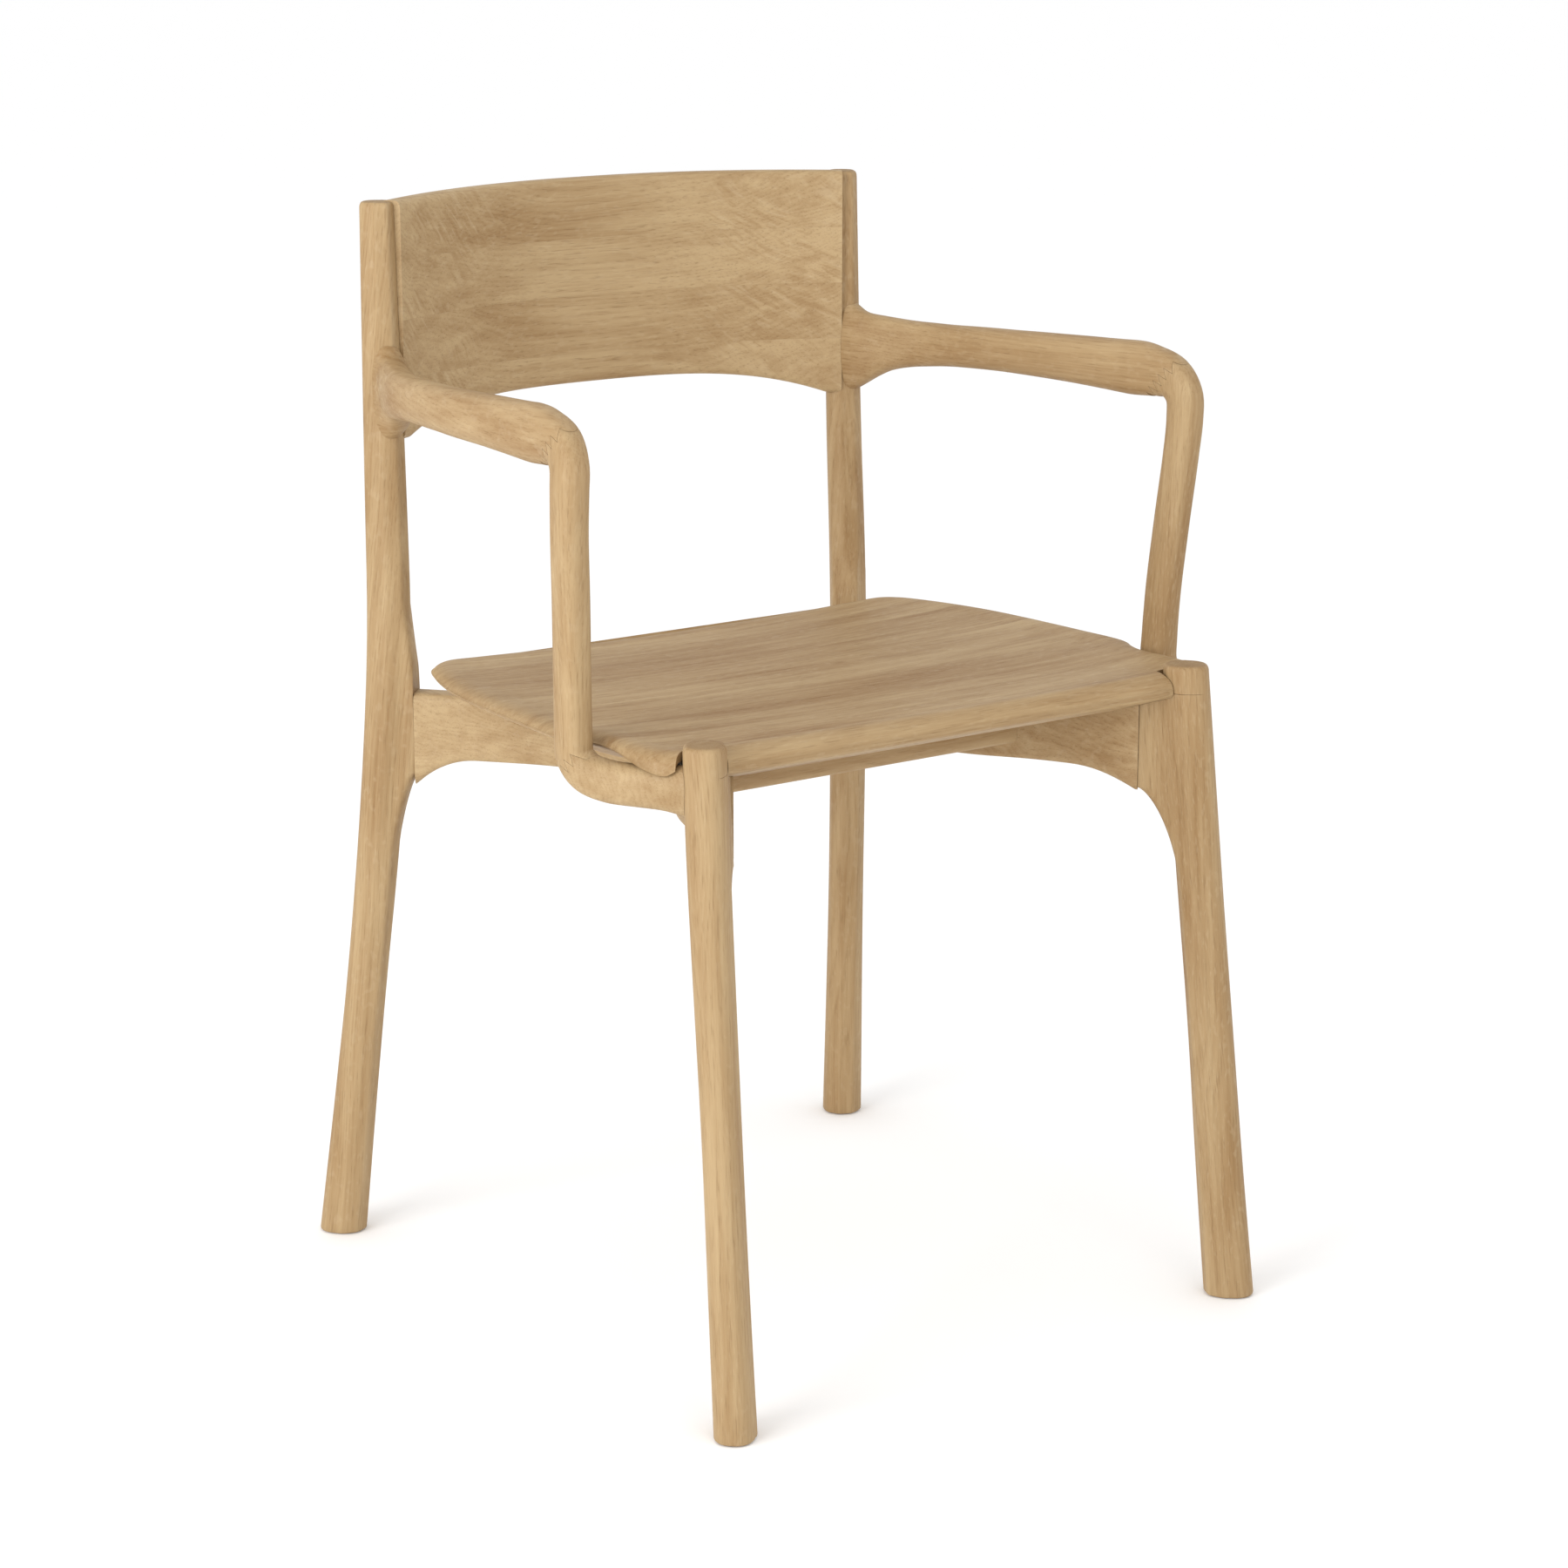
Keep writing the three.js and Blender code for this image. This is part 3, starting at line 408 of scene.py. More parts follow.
# ---- seat ----
# The seat is a board glued up from five oak staves that run from side to side, hollowed on top.
# Its edge is cut back underneath to a thin lip, and each front corner is slotted round the leg.
# It is screwed up from the cross rails, so that it can move with the seasons.
SEAT_UNDER = 432
SEAT_RIM = 464.3
SEAT_MIDDLE_DROP = 4.5
LIP_FRONT, LIP_SIDE = 448, 457
SEAT_DISH = 6
SEAT_BACK, SEAT_FRONT = 155, -206
SEAT_MIDDLE = np.array((0, -26))
ARM_ROOM = 2.5
SEAT_HALF = [
    (0, 155), (60, 155), (120, 155), (174, 155), (200, 152), (216, 140), (227, 117), (236, 90),
    (243, 60), (247.5, 25), (250.5, -15), (252.5, -50), (254, -76), (252.5, -92), (247, -104),
    (243, -117), (242, -131), (243.5, -146), (244.3, -160), (243.5, -174), (239, -187), (230, -196),
    (219, -201.5), (206, -204.5), (190, -206), (150, -206), (100, -206), (50, -206), (0, -206),
]
seat_outline = np.array(SEAT_HALF + [(-x, y) for x, y in SEAT_HALF[-2:0:-1]], float)


def curved(points, steps, closed=False):
    """Smooth centripetal curves through rows of points, with the given steps from row to row."""
    points = np.asarray(points, float)
    before, after = (points[-1], points[:2]) if closed else (2 * points[0] - points[1],
                                                            [2 * points[-1] - points[-2]])
    row = np.concatenate([[before], points, after])
    gap = np.maximum(np.linalg.norm(np.diff(row, axis=0), axis=-1, keepdims=True), 1e-6) ** 0.5
    p0, p1, p2, p3 = row[:-3], row[1:-2], row[2:-1], row[3:]
    g0, g1, g2 = gap[:-2], gap[1:-1], gap[2:]
    m1 = ((p1 - p0) / g0 - (p2 - p0) / (g0 + g1) + (p2 - p1) / g1) * g1
    m2 = ((p2 - p1) / g1 - (p3 - p1) / (g1 + g2) + (p3 - p2) / g2) * g1
    made = []
    for t in np.arange(steps) / steps:
        made.append((2 * t**3 - 3 * t**2 + 1) * p1 + (t**3 - 2 * t**2 + t) * m1
                    + (3 * t**2 - 2 * t**3) * p2 + (t**3 - t**2) * m2)
    smooth = np.stack(made, axis=1).reshape(-1, *points.shape[1:])
    return smooth if closed else np.concatenate([smooth, points[-1:]])


frontness = np.clip((-150 - seat_outline[:, 1]) / 45, 0, 1)
lip_bottom = LIP_SIDE + (LIP_FRONT - LIP_SIDE) * frontness
lip_top = SEAT_RIM - (SEAT_MIDDLE_DROP * (1 - np.minimum(1, np.abs(seat_outline[:, 0]) / 200) ** 2)
                      * np.where(seat_outline[:, 1] > 0, 1, 0.3))


def seat_inset(inset, height):
    """The seat's outline drawn in evenly, at the given height."""
    run = np.roll(seat_outline, -1, axis=0) - np.roll(seat_outline, 1, axis=0)
    normal = np.column_stack([run[:, 1], -run[:, 0]])
    normal /= np.linalg.norm(normal, axis=1, keepdims=True)
    return np.column_stack([seat_outline + normal * inset, height])


def seat_scaled(ring, share, height):
    """A ring scaled towards the middle of the seat."""
    flat = SEAT_MIDDLE + (ring[:, :2] - SEAT_MIDDLE) * share
    return np.column_stack([flat, np.broadcast_to(height, len(ring))])


def seat_board(drop=0.0):
    edge = seat_inset(1.2, lip_bottom)
    rim = seat_inset(10, lip_top - 0.5)
    under = [seat_scaled(edge, share, SEAT_UNDER) for share in (0.03, 0.3, 0.6, 0.74)]
    side = [seat_scaled(edge, 0.97, edge[:, 2] - 2.6), edge, seat_inset(0, lip_bottom + 2),
            seat_inset(0.7, lip_top - 5 - 3 * frontness),
            seat_inset(3.4, lip_top - 2.4 - 1.6 * frontness), rim]
    rise = rim[:, 2] - SEAT_RIM
    top = [seat_scaled(rim, share, SEAT_RIM - SEAT_DISH * (1 - share**3) + rise * share**2)
           for share in (0.92, 0.84, 0.66, 0.4, 0.16, 0.03)]
    rings = np.array(under + side + top) - (0, 0, drop)
    around = curved(rings.transpose(1, 0, 2), 5, closed=True).transpose(1, 0, 2)
    return solid("seat", curved(around, 5))


# The slot in each front corner: distance towards the seat from the leg's centre, and half width.
LEG_SLOT = [(22, 0), (21.4, 2.6), (19.6, 6), (16.5, 9.6), (11, 13), (4, 16.2), (-4, 18.2), (-80, 18.2)]
FRONT_INWARD = np.array((-math.sqrt(0.5), math.sqrt(0.5)))
SLOT_CENTRE = np.array((211.43, -202.29))


def leg_slot():
    flank = curved(LEG_SLOT, 4)
    across = np.array((-FRONT_INWARD[1], FRONT_INWARD[0]))
    right = [SLOT_CENTRE + FRONT_INWARD * d + across * w for d, w in flank]
    left = [SLOT_CENTRE + FRONT_INWARD * d - across * w for d, w in flank[:0:-1]]
    return prism("leg_slot", right + left, 400, 480)


slot_right = leg_slot()
slot_left = mirrored(slot_right, "leg_slot_left")
seat = cut(seat_board(), slot_right, slot_left)
seat_room = cut(seat_board(GLUE_GAP), slot_right, slot_left)

# ---- front legs ----
# Each front leg is one length of solid oak that stands in a slot in the seat corner, its domed top
# just above the seat. Its neck is part of the same wood, so its grain runs upright beside the rail's.
FRONT_LEG = np.array([
    (0, 223.6, -252.0, 36.8, 28.8),
    (100, 220.8, -240.3, 34.6, 27.0),
    (200, 218.4, -230.0, 32.8, 25.9),
    (300, 215.6, -218.2, 33.0, 27.4),
    (400, 213.0, -207.0, 33.8, 28.6),
    (470, 210.8, -200.8, 32.8, 28.6),
])
FRONT_SEAM = 37
front = {"table": FRONT_LEG, "inward": FRONT_INWARD, "seam": FRONT_SEAM, "top": 470,
         "low": 380, "high": 450, "neck_runs_up": False}
front_centre = np.array(rounded_row(FRONT_LEG, RAIL_MIDDLE, 0)[:2])


def front_leg_shape(grow=0.0):
    return cut(solid("front_leg", leg_rings(front, grow)),
               beyond_seam(front_centre, FRONT_INWARD, FRONT_SEAM))


front_leg = cut(front_leg_shape(), seat_room)
front_oak = [oak("oak_front_leg_right", (-0.027, 0.105, 1), (0.05, 0.29, 0.2), 0.11),
             oak("oak_front_leg_left", (0.027, 0.105, 1), (0.34, 0.24, 1.3), 0.13)]
fit_pair(front_leg, "front_leg", front_oak)

# ---- seat rails ----
# Two rails bow towards each other under the seat, from the front necks to the rear necks.
# Each is sawn from one straight board, so its grain runs straight while the rail curves.
RAIL_BOTTOM_FRONT, RAIL_BOTTOM_REAR = 392, 381.5
FRONT_DROOP, REAR_DROOP = 14.2, 20.3  # how far the lower edge turns down to meet the necks
DROOP_RUN, DROOP_POWER = 50, 2.2
RISE_FROM, RISE_OVER = 0.24, 0.14  # shares of the rail's run in which its top rises to the front neck
NECK_TOP = 450


def inward_point(centre, inward, distance):
    return tuple(centre + inward * distance) + (0,)


rail_line = curved([
    inward_point(rear_centre, REAR_INWARD, REAR_SEAM - 30),
    inward_point(rear_centre, REAR_INWARD, REAR_SEAM + 0.3),
    (160, 144, 0), (130, 97, 0), (115, 45, 0), (114, -8, 0), (127, -56, 0), (155, -106, 0),
    inward_point(front_centre, FRONT_INWARD, FRONT_SEAM + 0.3),
    inward_point(front_centre, FRONT_INWARD, FRONT_SEAM - 30),
], 14)
rail_run = np.gradient(rail_line, axis=0)
rail_side = np.column_stack([-rail_run[:, 1], rail_run[:, 0], np.zeros(len(rail_run))])
rail_side /= np.linalg.norm(rail_side, axis=1, keepdims=True)


LONGEST_EDGE = 6  # a longer side of a section is divided


def rounded_rectangle(width, height, radius, steps=5):
    """Points round a rectangle with rounded corners and points along its long sides."""
    points = []
    for number, (sx, sy) in enumerate(((1, 1), (-1, 1), (-1, -1), (1, -1))):
        turn = (number + np.linspace(0, 1, steps)) * math.pi / 2
        points.append(np.column_stack([sx * (width / 2 - radius) + radius * np.cos(turn),
                                       sy * (height / 2 - radius) + radius * np.sin(turn)]))
    corners = np.vstack(points)
    after = np.roll(corners, -1, axis=0)
    full = []
    for a, b in zip(corners, after):
        pieces = max(1, round(np.linalg.norm(b - a) / LONGEST_EDGE))
        full += [a + (b - a) * k / pieces for k in range(pieces)]
    return np.array(full)


def droop_towards(point, centre, seam, depth):
    """How far the rail's lower edge has turned down towards a neck."""
    run = np.linalg.norm(point[:2] - centre) - seam
    return depth * min(1, max(0, 1 - run / DROOP_RUN)) ** DROOP_POWER


# The rail's section as width in millimetres and height as a share, its corners rounded by 4 mm.
RAIL_SECTION = rounded_rectangle(RAIL_THICK, 40, 4) / (1, 40)


def rail_rings():
    rings = []
    for point, side in zip(rail_line, rail_side):
        share = min(1, max(0, (point[1] - front_centre[1]) / (rear_centre[1] - front_centre[1])))
        droop = (droop_towards(point, front_centre, FRONT_SEAM, FRONT_DROOP)
                 + droop_towards(point, rear_centre, REAR_SEAM, REAR_DROOP))
        low = RAIL_BOTTOM_FRONT + (RAIL_BOTTOM_REAR - RAIL_BOTTOM_FRONT) * share - droop
        high = RAIL_TOP + (NECK_TOP - RAIL_TOP) * min(1, max(0, (RISE_FROM - share) / RISE_OVER))
        tall = (RAIL_SECTION[:, 1] + 0.5) * (high - low) + low
        rings.append(np.column_stack([point[:2] + np.outer(RAIL_SECTION[:, 0], side[:2]), tall]))
    return rings


rail = cut(solid("seat_rail", rail_rings()),
           beyond_seam(rear_centre, -REAR_INWARD, -(REAR_SEAM + 2 * GLUE_GAP)),
           beyond_seam(front_centre, -FRONT_INWARD, -(FRONT_SEAM + 2 * GLUE_GAP)),
           seat_room)
rail_oak = [oak("oak_seat_rail_right", (0, 1, 0.03), (0.12, -0.36, 0.4), 0.16),
            oak("oak_seat_rail_left", (0, 1, 0.03), (0.27, -0.30, 2.1), -0.1)]
fit_pair(rail, "seat_rail", rail_oak)

# ---- cross rails ----
# Two straight oak rails tie the seat rails together, tenoned into their inner faces.
# Each carries two screws that hold the seat from below.
CROSS_THICK = 22
CROSS_BOTTOM = 401
CROSS_Y = 88
CROSS_SCREW_X = 62
CROSS_HALF = 170  # longer than the gap; the seat rails' room is cut off its ends


def lathe(name, profile, x, y, bottom, sides=40):
    """A turned shape from a profile of radius and height."""
    turn = np.linspace(0, 2 * math.pi, sides, endpoint=False)
    rings = [np.column_stack([x + r * np.cos(turn), y + r * np.sin(turn), np.full(sides, bottom + z)])
             for r, z in profile]
    return solid(name, rings)


def rail_room():
    """The space a seat rail fills and everything outside it."""
    away = np.where(rail_side[:, 0] > 0, -1, 1) * (RAIL_THICK / 2 + GLUE_GAP)
    inner = (rail_line + rail_side * away[:, None])[20:-20, :2]
    outline = [(400, inner[0][1]), *inner, (400, inner[-1][1])]
    return prism("rail_room", outline, 350, 470)


rail_room_right = rail_room()
rail_room_left = mirrored(rail_room_right, "rail_room_left")
SCREW_PROFILE = [(0.05, 0), (4.3, 0), (4.6, 0.3), (4.6, 1.2), (2.4, 3.6), (2.4, 43), (0.1, 46)]
SCREW_HOLE = [(0.05, -1), (4.9, -1), (4.9, 1.3), (2.7, 3.7), (2.7, 47)]
cross_oak = oak("oak_cross_rail", (1, 0, 0), (0.2, 0.18, 0.3), 0.02)
for name, y in (("front_cross_rail", -CROSS_Y), ("rear_cross_rail", CROSS_Y)):
    height = RAIL_TOP - CROSS_BOTTOM
    section = rounded_rectangle(CROSS_THICK, height, 4)
    rings = [np.column_stack([np.full(len(section), x), section[:, 0] + y,
                              section[:, 1] + CROSS_BOTTOM + height / 2])
             for x in np.linspace(-CROSS_HALF, CROSS_HALF, 35)]
    holes = [lathe("hole", SCREW_HOLE, x, y, CROSS_BOTTOM) for x in (-CROSS_SCREW_X, CROSS_SCREW_X)]
    bar = cut(solid(name, rings), rail_room_right, rail_room_left, *holes)
    fit(bar, name + "_oak", [name], cross_oak)

# ---- seat board in place ----
# The hollowed board is sanded flush over its glue lines, so only the change of grain shows them.
# The arm's lower bend passes close by each side of it, through a scooped clearance.
ARM_LINE = [
    (208.5, 212, 655), (212.5, 190, 656), (222, 168, 659.5), (235, 135, 661.5), (246, 85, 663.5),
    (253.5, 35, 664.5), (258, -20, 665.5), (261.3, -69, 665.8), (263.3, -98.5, 665.8),
    (265.4, -119.8, 662), (267.2, -129, 650.5), (267.8, -129.6, 634), (266.8, -127.2, 605),
    (263.7, -123.2, 560), (260.6, -118.6, 505), (259.3, -117, 468), (258.6, -117.5, 453),
    (255.5, -126, 443), (248, -141, 438.3), (237, -163, 438), (224, -186, 438.5), (211.5, -205, 437),
]
# share of the way along, width and height of the section there
ARM_SECTIONS = np.array([
    (0, 24, 80), (0.018, 24, 74), (0.035, 24.5, 58), (0.06, 25, 45), (0.1, 25, 36),
    (0.16, 25, 32), (0.25, 25, 32.5), (0.35, 25, 35.5), (0.42, 25, 38.5), (0.465, 25, 41),
    (0.5, 24, 35), (0.53, 23, 29), (0.6, 22.5, 27), (0.8, 22.5, 27), (0.86, 23.5, 28),
    (0.945, 23.5, 29), (0.96, 23.5, 30.5), (0.975, 23.5, 34), (1, 23.5, 40),
])
ARM_STATIONS = 230


def unit(vectors):
    return vectors / np.linalg.norm(vectors, axis=-1, keepdims=True)


def arm_shape(grow=0.0):
    """The whole arm, from the back post to the front leg, as one bent bar of changing section."""
    fine = curved(ARM_LINE, 24)
    walked = np.concatenate([[0], np.cumsum(np.linalg.norm(np.diff(fine, axis=0), axis=1))])
    walked /= walked[-1]
    share = np.linspace(0, 1, ARM_STATIONS)
    line = np.column_stack([np.interp(share, walked, axis) for axis in fine.T])
    run = unit(np.gradient(line, axis=0))
    wide = unit(np.array((1, 0, 0)) - run[:, :1] * run)
    tall = unit(np.cross(run, wide))
    turn = (np.arange(44) + 0.5) / 44 * 2 * math.pi
    ring_x = np.sign(np.cos(turn)) * np.abs(np.cos(turn)) ** (2 / 2.5)
    ring_y = np.sign(np.sin(turn)) * np.abs(np.sin(turn)) ** (2 / 2.5)
    rings = []
    for u, point, a, b in zip(share, line, wide, tall):
        width, height = rounded_row(ARM_SECTIONS, u, 0.016)
        rings.append(point + np.outer(ring_x * (width / 2 + grow), a)
                     + np.outer(ring_y * (height / 2 + grow), b))
    return solid("arm", rings)


SEAT_STAVES = 5
arm_room_right = arm_shape(ARM_ROOM)
arm_room_left = mirrored(arm_room_right, "arm_room_left")
seat_holes = [lathe("hole", SCREW_HOLE, x, y, CROSS_BOTTOM)
              for x in (-CROSS_SCREW_X, CROSS_SCREW_X) for y in (-CROSS_Y, CROSS_Y)]
seat = cut(seat, arm_room_right, arm_room_left, *seat_holes)
stave_width = (SEAT_BACK - SEAT_FRONT) / SEAT_STAVES
seat_oak = oak("oak_seat", (1, 0, 0.0), (0.1, 0.02, 0.6), 0.16,
               strips=("Y", SEAT_FRONT * MM, stave_width * MM), ring_width=0.0042)
fit(seat, "seat_board_oak", [f"seat_stave_{i + 1}" for i in range(SEAT_STAVES)], seat_oak)

# ---- backrest ----
# The backrest is glued up from four thick oak staves and sawn to its bow, so the curve cuts across
# the grain: it lies in long streaks in the middle and turns curly near the ends.
BACK_BOTTOM, BACK_TOP = 619, 793
BACK_THICK = 16
BACK_BOW, BACK_ARCH, BACK_CROWN = 46, 20, 2
BACK_HALF = 193
BACK_END_Y = 211
BACK_END_X = 203  # the board runs this far, up to the round of the post
BACK_STAVES = 4


def back_y(x):
    return BACK_END_Y + BACK_BOW * (1 - (abs(x) / BACK_HALF) ** 2.3)


# The board's section as thickness in millimetres and height as a share, its corners rounded by 5 mm.
BACK_SECTION = rounded_rectangle(BACK_THICK, 160, 5, 7) / (1, 160)


def back_board():
    rings = []
    for x in np.linspace(-BACK_END_X, BACK_END_X, 130):
        slope = back_y(x + 0.5) - back_y(x - 0.5)
        normal = np.array((-slope, 1)) / math.hypot(slope, 1)
        low = BACK_BOTTOM + BACK_ARCH * (1 - min(1, abs(x) / BACK_HALF) ** 3.8)
        high = BACK_TOP + BACK_CROWN * (1 - (x / BACK_HALF) ** 2)
        section = BACK_SECTION * (1, high - low)
        flat = np.array((x, back_y(x))) + np.outer(section[:, 0], normal)
        rings.append(np.column_stack([flat, (high + low) / 2 + section[:, 1]]))
    return solid("backrest", rings)


rear_room_right = rear_leg_shape(GLUE_GAP)
rear_room_left = mirrored(rear_room_right, "rear_room_left")
back = cut(back_board(), rear_room_right, rear_room_left, arm_shape(GLUE_GAP),
           mirrored(arm_shape(GLUE_GAP), "arm_left"))
back_stave = (BACK_TOP - BACK_BOTTOM) / BACK_STAVES
back_oak = oak("oak_backrest", (1, 0, 0), (0.2, 0.06, 0.1), -0.13,
               strips=("Z", BACK_BOTTOM * MM, back_stave * MM), curl_from=0.07)
fit(back, "backrest_oak", [f"back_stave_{i + 1}" for i in range(BACK_STAVES)], back_oak)

# ---- arms ----
# Each arm is three pieces of oak: the rail from the back post, the upright post and the foot that
# sweeps to the front leg. They meet in finger joints, glued, then shaped and sanded as one bar.
FINGER_PITCH = 7
FINGER_DEPTH = 4
FINGER_REACH = 30  # more than half the arm's width
KERF = 0.25


def finger_wall(centre, direction, half, crossing):
    """A thin zigzag wall across the arm: what the glue line takes between two pieces."""
    count = math.ceil(2 * half / FINGER_PITCH)
    zigzag = [(-half + i * FINGER_PITCH / 2, FINGER_DEPTH * (1 if i % 2 else -1))
              for i in range(2 * count + 1)]
    slope = math.atan2(2 * FINGER_DEPTH, FINGER_PITCH / 2)
    outline = zigzag + [(a, b + KERF / math.cos(slope)) for a, b in reversed(zigzag)]
    up = Vector(direction).normalized()
    right = (Vector(crossing) - up * up.dot(Vector(crossing))).normalized()
    out = right.cross(up)
    rings = [[Vector(centre) + right * a + up * b + out * depth for a, b in outline]
             for depth in (-FINGER_REACH, FINGER_REACH)]
    return solid("finger_wall", rings)


def loose_pieces(piece, smallest=300):
    """The separate bodies that a piece has been cut into, from the top down."""
    shape = bmesh.new()
    shape.from_mesh(piece.data)
    shape.faces.ensure_lookup_table()
    left, found = set(shape.faces), []
    while left:
        group, edge = set(), [left.pop()]
        while edge:
            face = edge.pop()
            group.add(face)
            for near in (f for e in face.edges for f in e.link_faces if f in left):
                left.discard(near)
                edge.append(near)
        if len(group) > smallest:
            found.append({f.index for f in group})
    shape.free()
    made = []
    for keep in found:
        part = bmesh.new()
        part.from_mesh(piece.data)
        part.faces.ensure_lookup_table()
        bmesh.ops.delete(part, geom=[f for f in part.faces if f.index not in keep], context="FACES")
        mesh = bpy.data.meshes.new("arm_piece")
        height = sum(v.co.z for v in part.verts) / len(part.verts)
        part.to_mesh(mesh)
        part.free()
        made.append((height, mesh))
    made.sort(key=lambda row: -row[0])
    return [bpy.data.objects.new("arm_piece", mesh) for height, mesh in made]


arm = cut(arm_shape(), rear_room_right, front_leg_shape(GLUE_GAP),
          finger_wall((266.6, -116, 660), (0, 1, 1), 42, (0, 1, -1)))
arm_rail, post_and_foot = loose_pieces(arm)
cut(post_and_foot, finger_wall((257, -121.5, 446.5), (0, 0.68, 0.73), 28, (0, 0.73, -0.68)))
arm_post, arm_foot = loose_pieces(post_and_foot)
ARM_PIECES = {
    "arm_rail": ((0.09, -1, 0.02), (-0.36, 0.56, 0.2), 0.22),
    "arm_post": ((0.02, -0.02, 1), (0.0, 0.26, 0.5), 0.13),
    "arm_foot": ((0.5, 0.86, 0), (0.06, 0.50, 1.1), 0.04),
}
for (name, (grain, heart, tone)), body in zip(ARM_PIECES.items(), (arm_rail, arm_post, arm_foot)):
    finish = oak("oak_" + name, grain, heart, tone)
    fit_pair(body, name, (finish, finish))

# ---- tenons and dowels ----
# Loose tenons and fluted dowels of steamed beech hold every joint, glued and out of sight.
BEECH_PALE = (0.62, 0.43, 0.25, 1)
BEECH_DEEP = (0.50, 0.32, 0.17, 1)
beech = Recipe("beech", IOR=1.5)
beech_place = beech.node("TexCoord", "Object", {}, {})
beech_fleck = beech.ramp(beech.noise(beech_place, (1, 0.2, 1), 900.0), (0.45, 0.0), (0.62, 1.0))
beech.feed("Base Color", beech.blend(beech_fleck * 0.6, BEECH_PALE, BEECH_DEEP))
beech.feed("Roughness", 0.62 + beech_fleck * 0.1)
JOINERY = ["rear_leg_tenon", "front_leg_tenon", "arm_back_tenon", "arm_foot_dowel", "back_dowel_upper",
           "back_dowel_lower", "front_cross_tenon", "rear_cross_tenon"]
for name in JOINERY:
    for side in ("right", "left"):
        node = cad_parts[f"{name}_{side}"]
        node.data.materials.clear()
        node.data.materials.append(beech.material)

# ---- seat screws ----
# Four countersunk zinc-plated wood screws come up through the cross rails into the seat.
ZINC = (0.56, 0.57, 0.58, 1)
ZINC_DULL = (0.42, 0.43, 0.45, 1)
RECESS_ARMS = [(2.4, 0.55), (0.55, 2.4)]  # half length and half width of each arm of the cross
RECESS_DEPTH = 1.6
zinc = Recipe("zinc_plate", Metallic=1.0, IOR=1.5)
zinc_place = zinc.node("TexCoord", "Object", {}, {})
zinc_wear = zinc.noise(zinc_place, (1, 1, 1), 600.0, 3.0)
zinc.feed("Base Color", zinc.blend(zinc_wear * 0.5, ZINC, ZINC_DULL))
zinc.feed("Roughness", 0.28 + zinc_wear * 0.2)
number = 0
for y in (-CROSS_Y, CROSS_Y):
    for x in (-CROSS_SCREW_X, CROSS_SCREW_X):
        number += 1
        recess = [prism("recess", [(x - a, y - b), (x + a, y - b), (x + a, y + b), (x - a, y + b)],
                        CROSS_BOTTOM - 1, CROSS_BOTTOM + RECESS_DEPTH) for a, b in RECESS_ARMS]
        screw = cut(lathe("screw", SCREW_PROFILE, x, y, CROSS_BOTTOM, 48), *recess)
        fit(screw, f"seat_screw_{number}_zinc", [f"seat_screw_{number}"], zinc.material)

# ---- glides ----
# A nylon glide is pressed into the end of each leg, with a stem in the wood and a thin disc below it.
NYLON = (0.022, 0.020, 0.018, 1)
NYLON_WORN = (0.06, 0.056, 0.05, 1)
nylon = Recipe("nylon", IOR=1.5, Specular_IOR_Level=0.4)
nylon_place = nylon.node("TexCoord", "Object", {}, {})
nylon_scuff = nylon.noise(nylon_place, (1, 1, 1), 900.0, 3.0)
nylon.feed("Base Color", nylon.blend(nylon_scuff * 0.5, NYLON, NYLON_WORN))
nylon.feed("Roughness", 0.42 + nylon_scuff * 0.25)
GLIDE_PROFILE = [(0.05, 0), (7.6, 0), (8.4, 0.25), (8.9, 0.8), (9, 1.2), (9, 2.2),
                 (2, 2.2), (2, 15.4), (1.4, 16)]
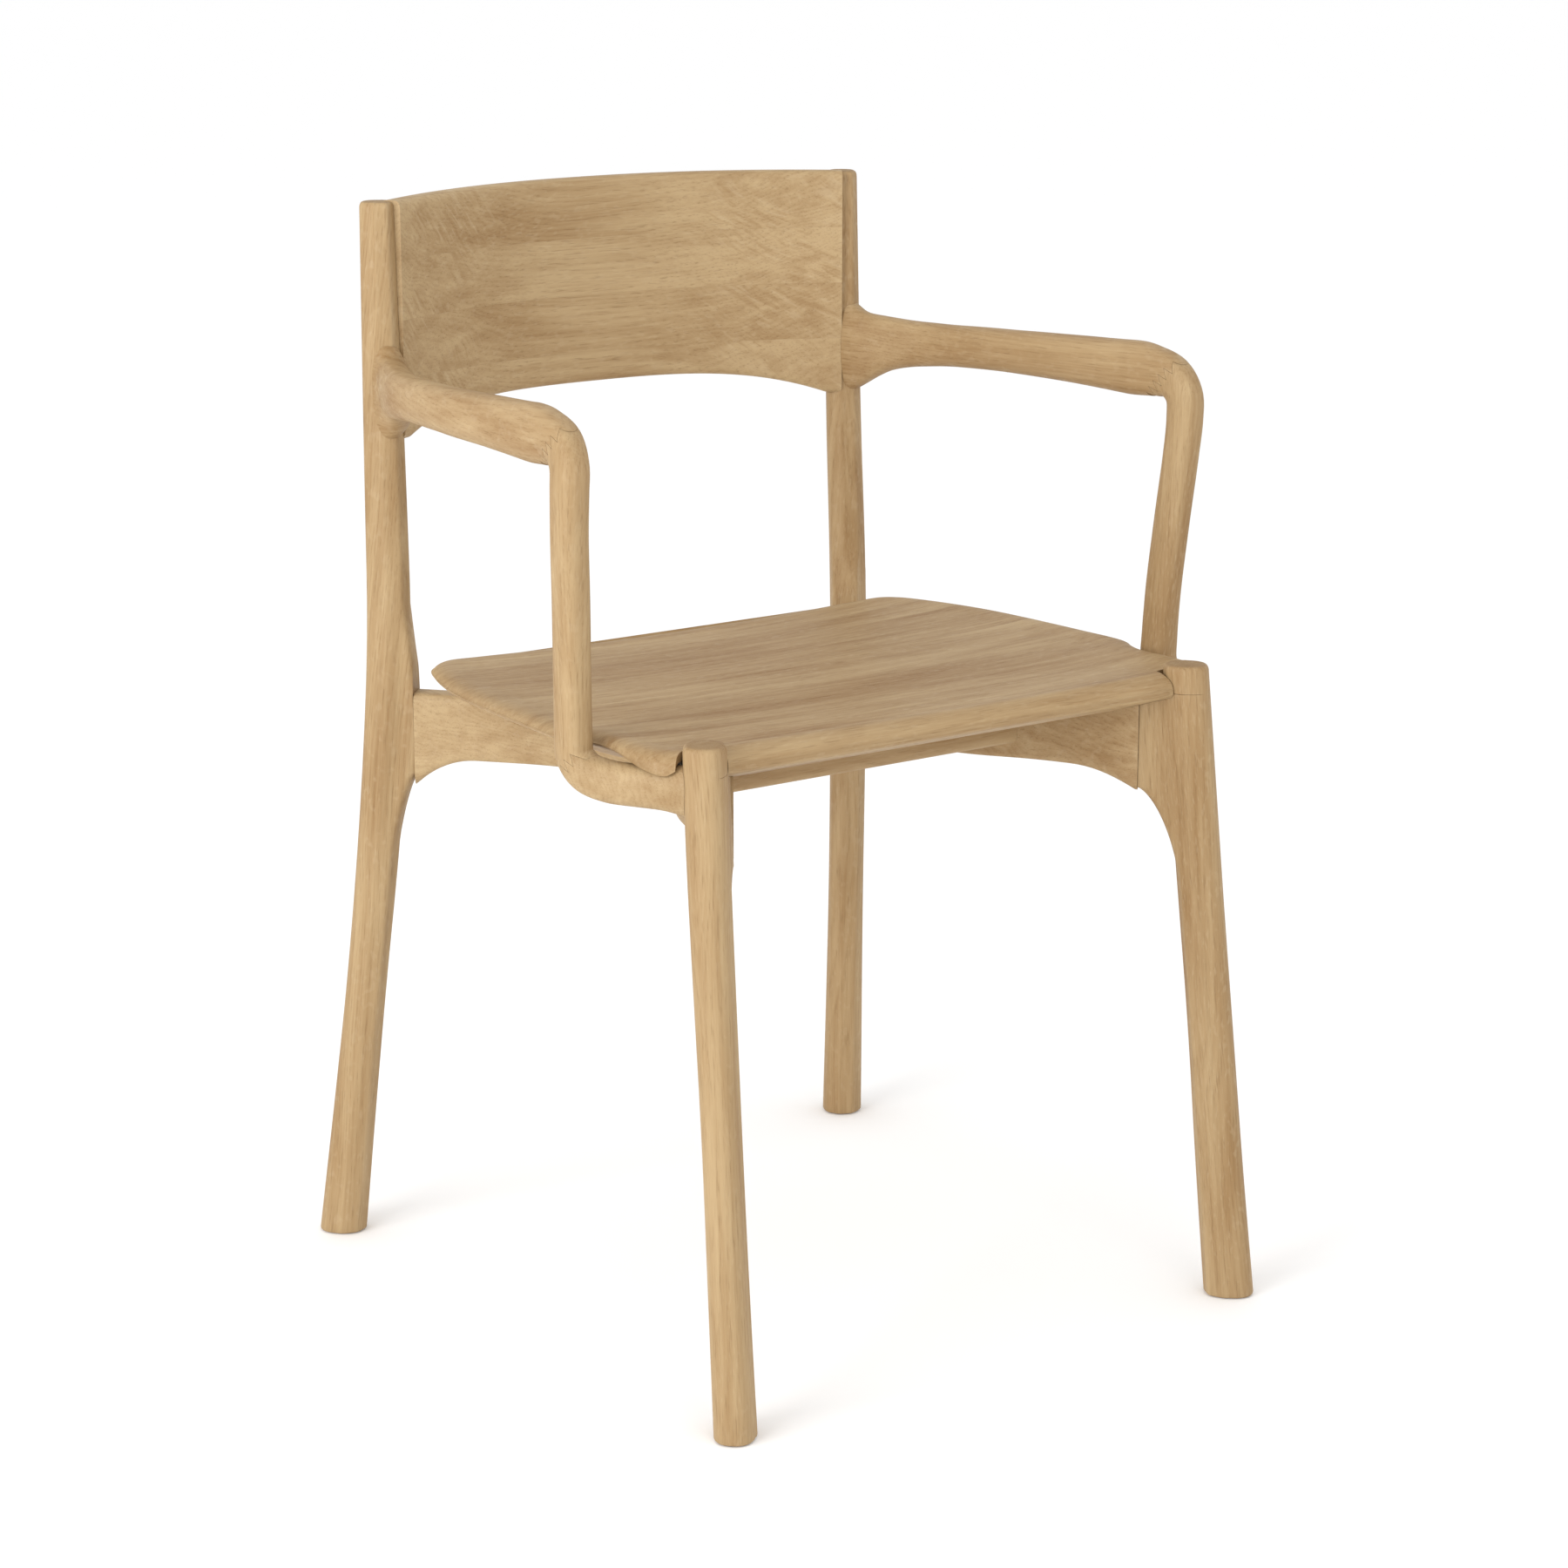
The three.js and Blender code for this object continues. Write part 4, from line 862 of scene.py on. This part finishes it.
for name, table in (("rear_glide", REAR_LEG), ("front_glide", FRONT_LEG)):
    for side, sign in (("right", 1), ("left", -1)):
        glide = lathe("glide", GLIDE_PROFILE, sign * table[0, 1], table[0, 2], 0, 48)
        fit(glide, f"{name}_{side}_nylon", [f"{name}_{side}"], nylon.material)

# ---- floor, light and camera ----
# The chair stands on a plain white studio floor under a large soft light on its `_left` side,
# with a weak fill from the front and white walls all round.
FLOOR_HALF = 30
WHITE = (1, 1, 1, 1)
LIGHT_AIM = Vector((0, 0, 0.4))
floor_mesh = bpy.data.meshes.new("floor")
corners = [(x * FLOOR_HALF, y * FLOOR_HALF, 0) for x, y in ((-1, -1), (1, -1), (1, 1), (-1, 1))]
floor_mesh.from_pydata(corners, [], [(0, 1, 2, 3)])
floor = bpy.data.objects.new("floor", floor_mesh)
bpy.context.scene.collection.objects.link(floor)
paper = Recipe("studio_floor", Base_Color=(0.95, 0.95, 0.95, 1), Roughness=0.9,
               Specular_IOR_Level=0.1, Emission_Color=WHITE, Emission_Strength=0.03)
floor_mesh.materials.append(paper.material)

walls = bpy.data.worlds.new("studio_walls")
walls.use_nodes = True
glow = walls.node_tree.nodes["Background"].inputs
glow["Color"].default_value, glow["Strength"].default_value = WHITE, 1.02
bpy.context.scene.world = walls
bpy.context.scene.view_settings.view_transform = "Standard"


def softbox(name, place, size, watts):
    """A large square light that faces the chair."""
    data = bpy.data.lights.new(name, "AREA")
    data.shape, data.size, data.energy = "SQUARE", size, watts
    box = bpy.data.objects.new(name, data)
    box.location = place
    box.rotation_euler = (LIGHT_AIM - Vector(place)).to_track_quat("-Z", "Y").to_euler()
    bpy.context.scene.collection.objects.link(box)


softbox("key", (-2.9, -0.5, 1.3), 1.8, 50)
softbox("fill", (-0.6, -2.8, 1.4), 1.6, 12)

CAMERA_PLACE = (-1.6148, -2.2305, 1.0684)
CAMERA_AIM = (0.568, 0.785, -0.2456)
camera = bpy.data.objects.new("camera", bpy.data.cameras.new("camera"))
camera.data.lens, camera.data.sensor_width = 88.58, 36
camera.location = CAMERA_PLACE
camera.rotation_euler = Vector(CAMERA_AIM).to_track_quat("-Z", "Y").to_euler()
bpy.context.scene.collection.objects.link(camera)
bpy.context.scene.camera = camera
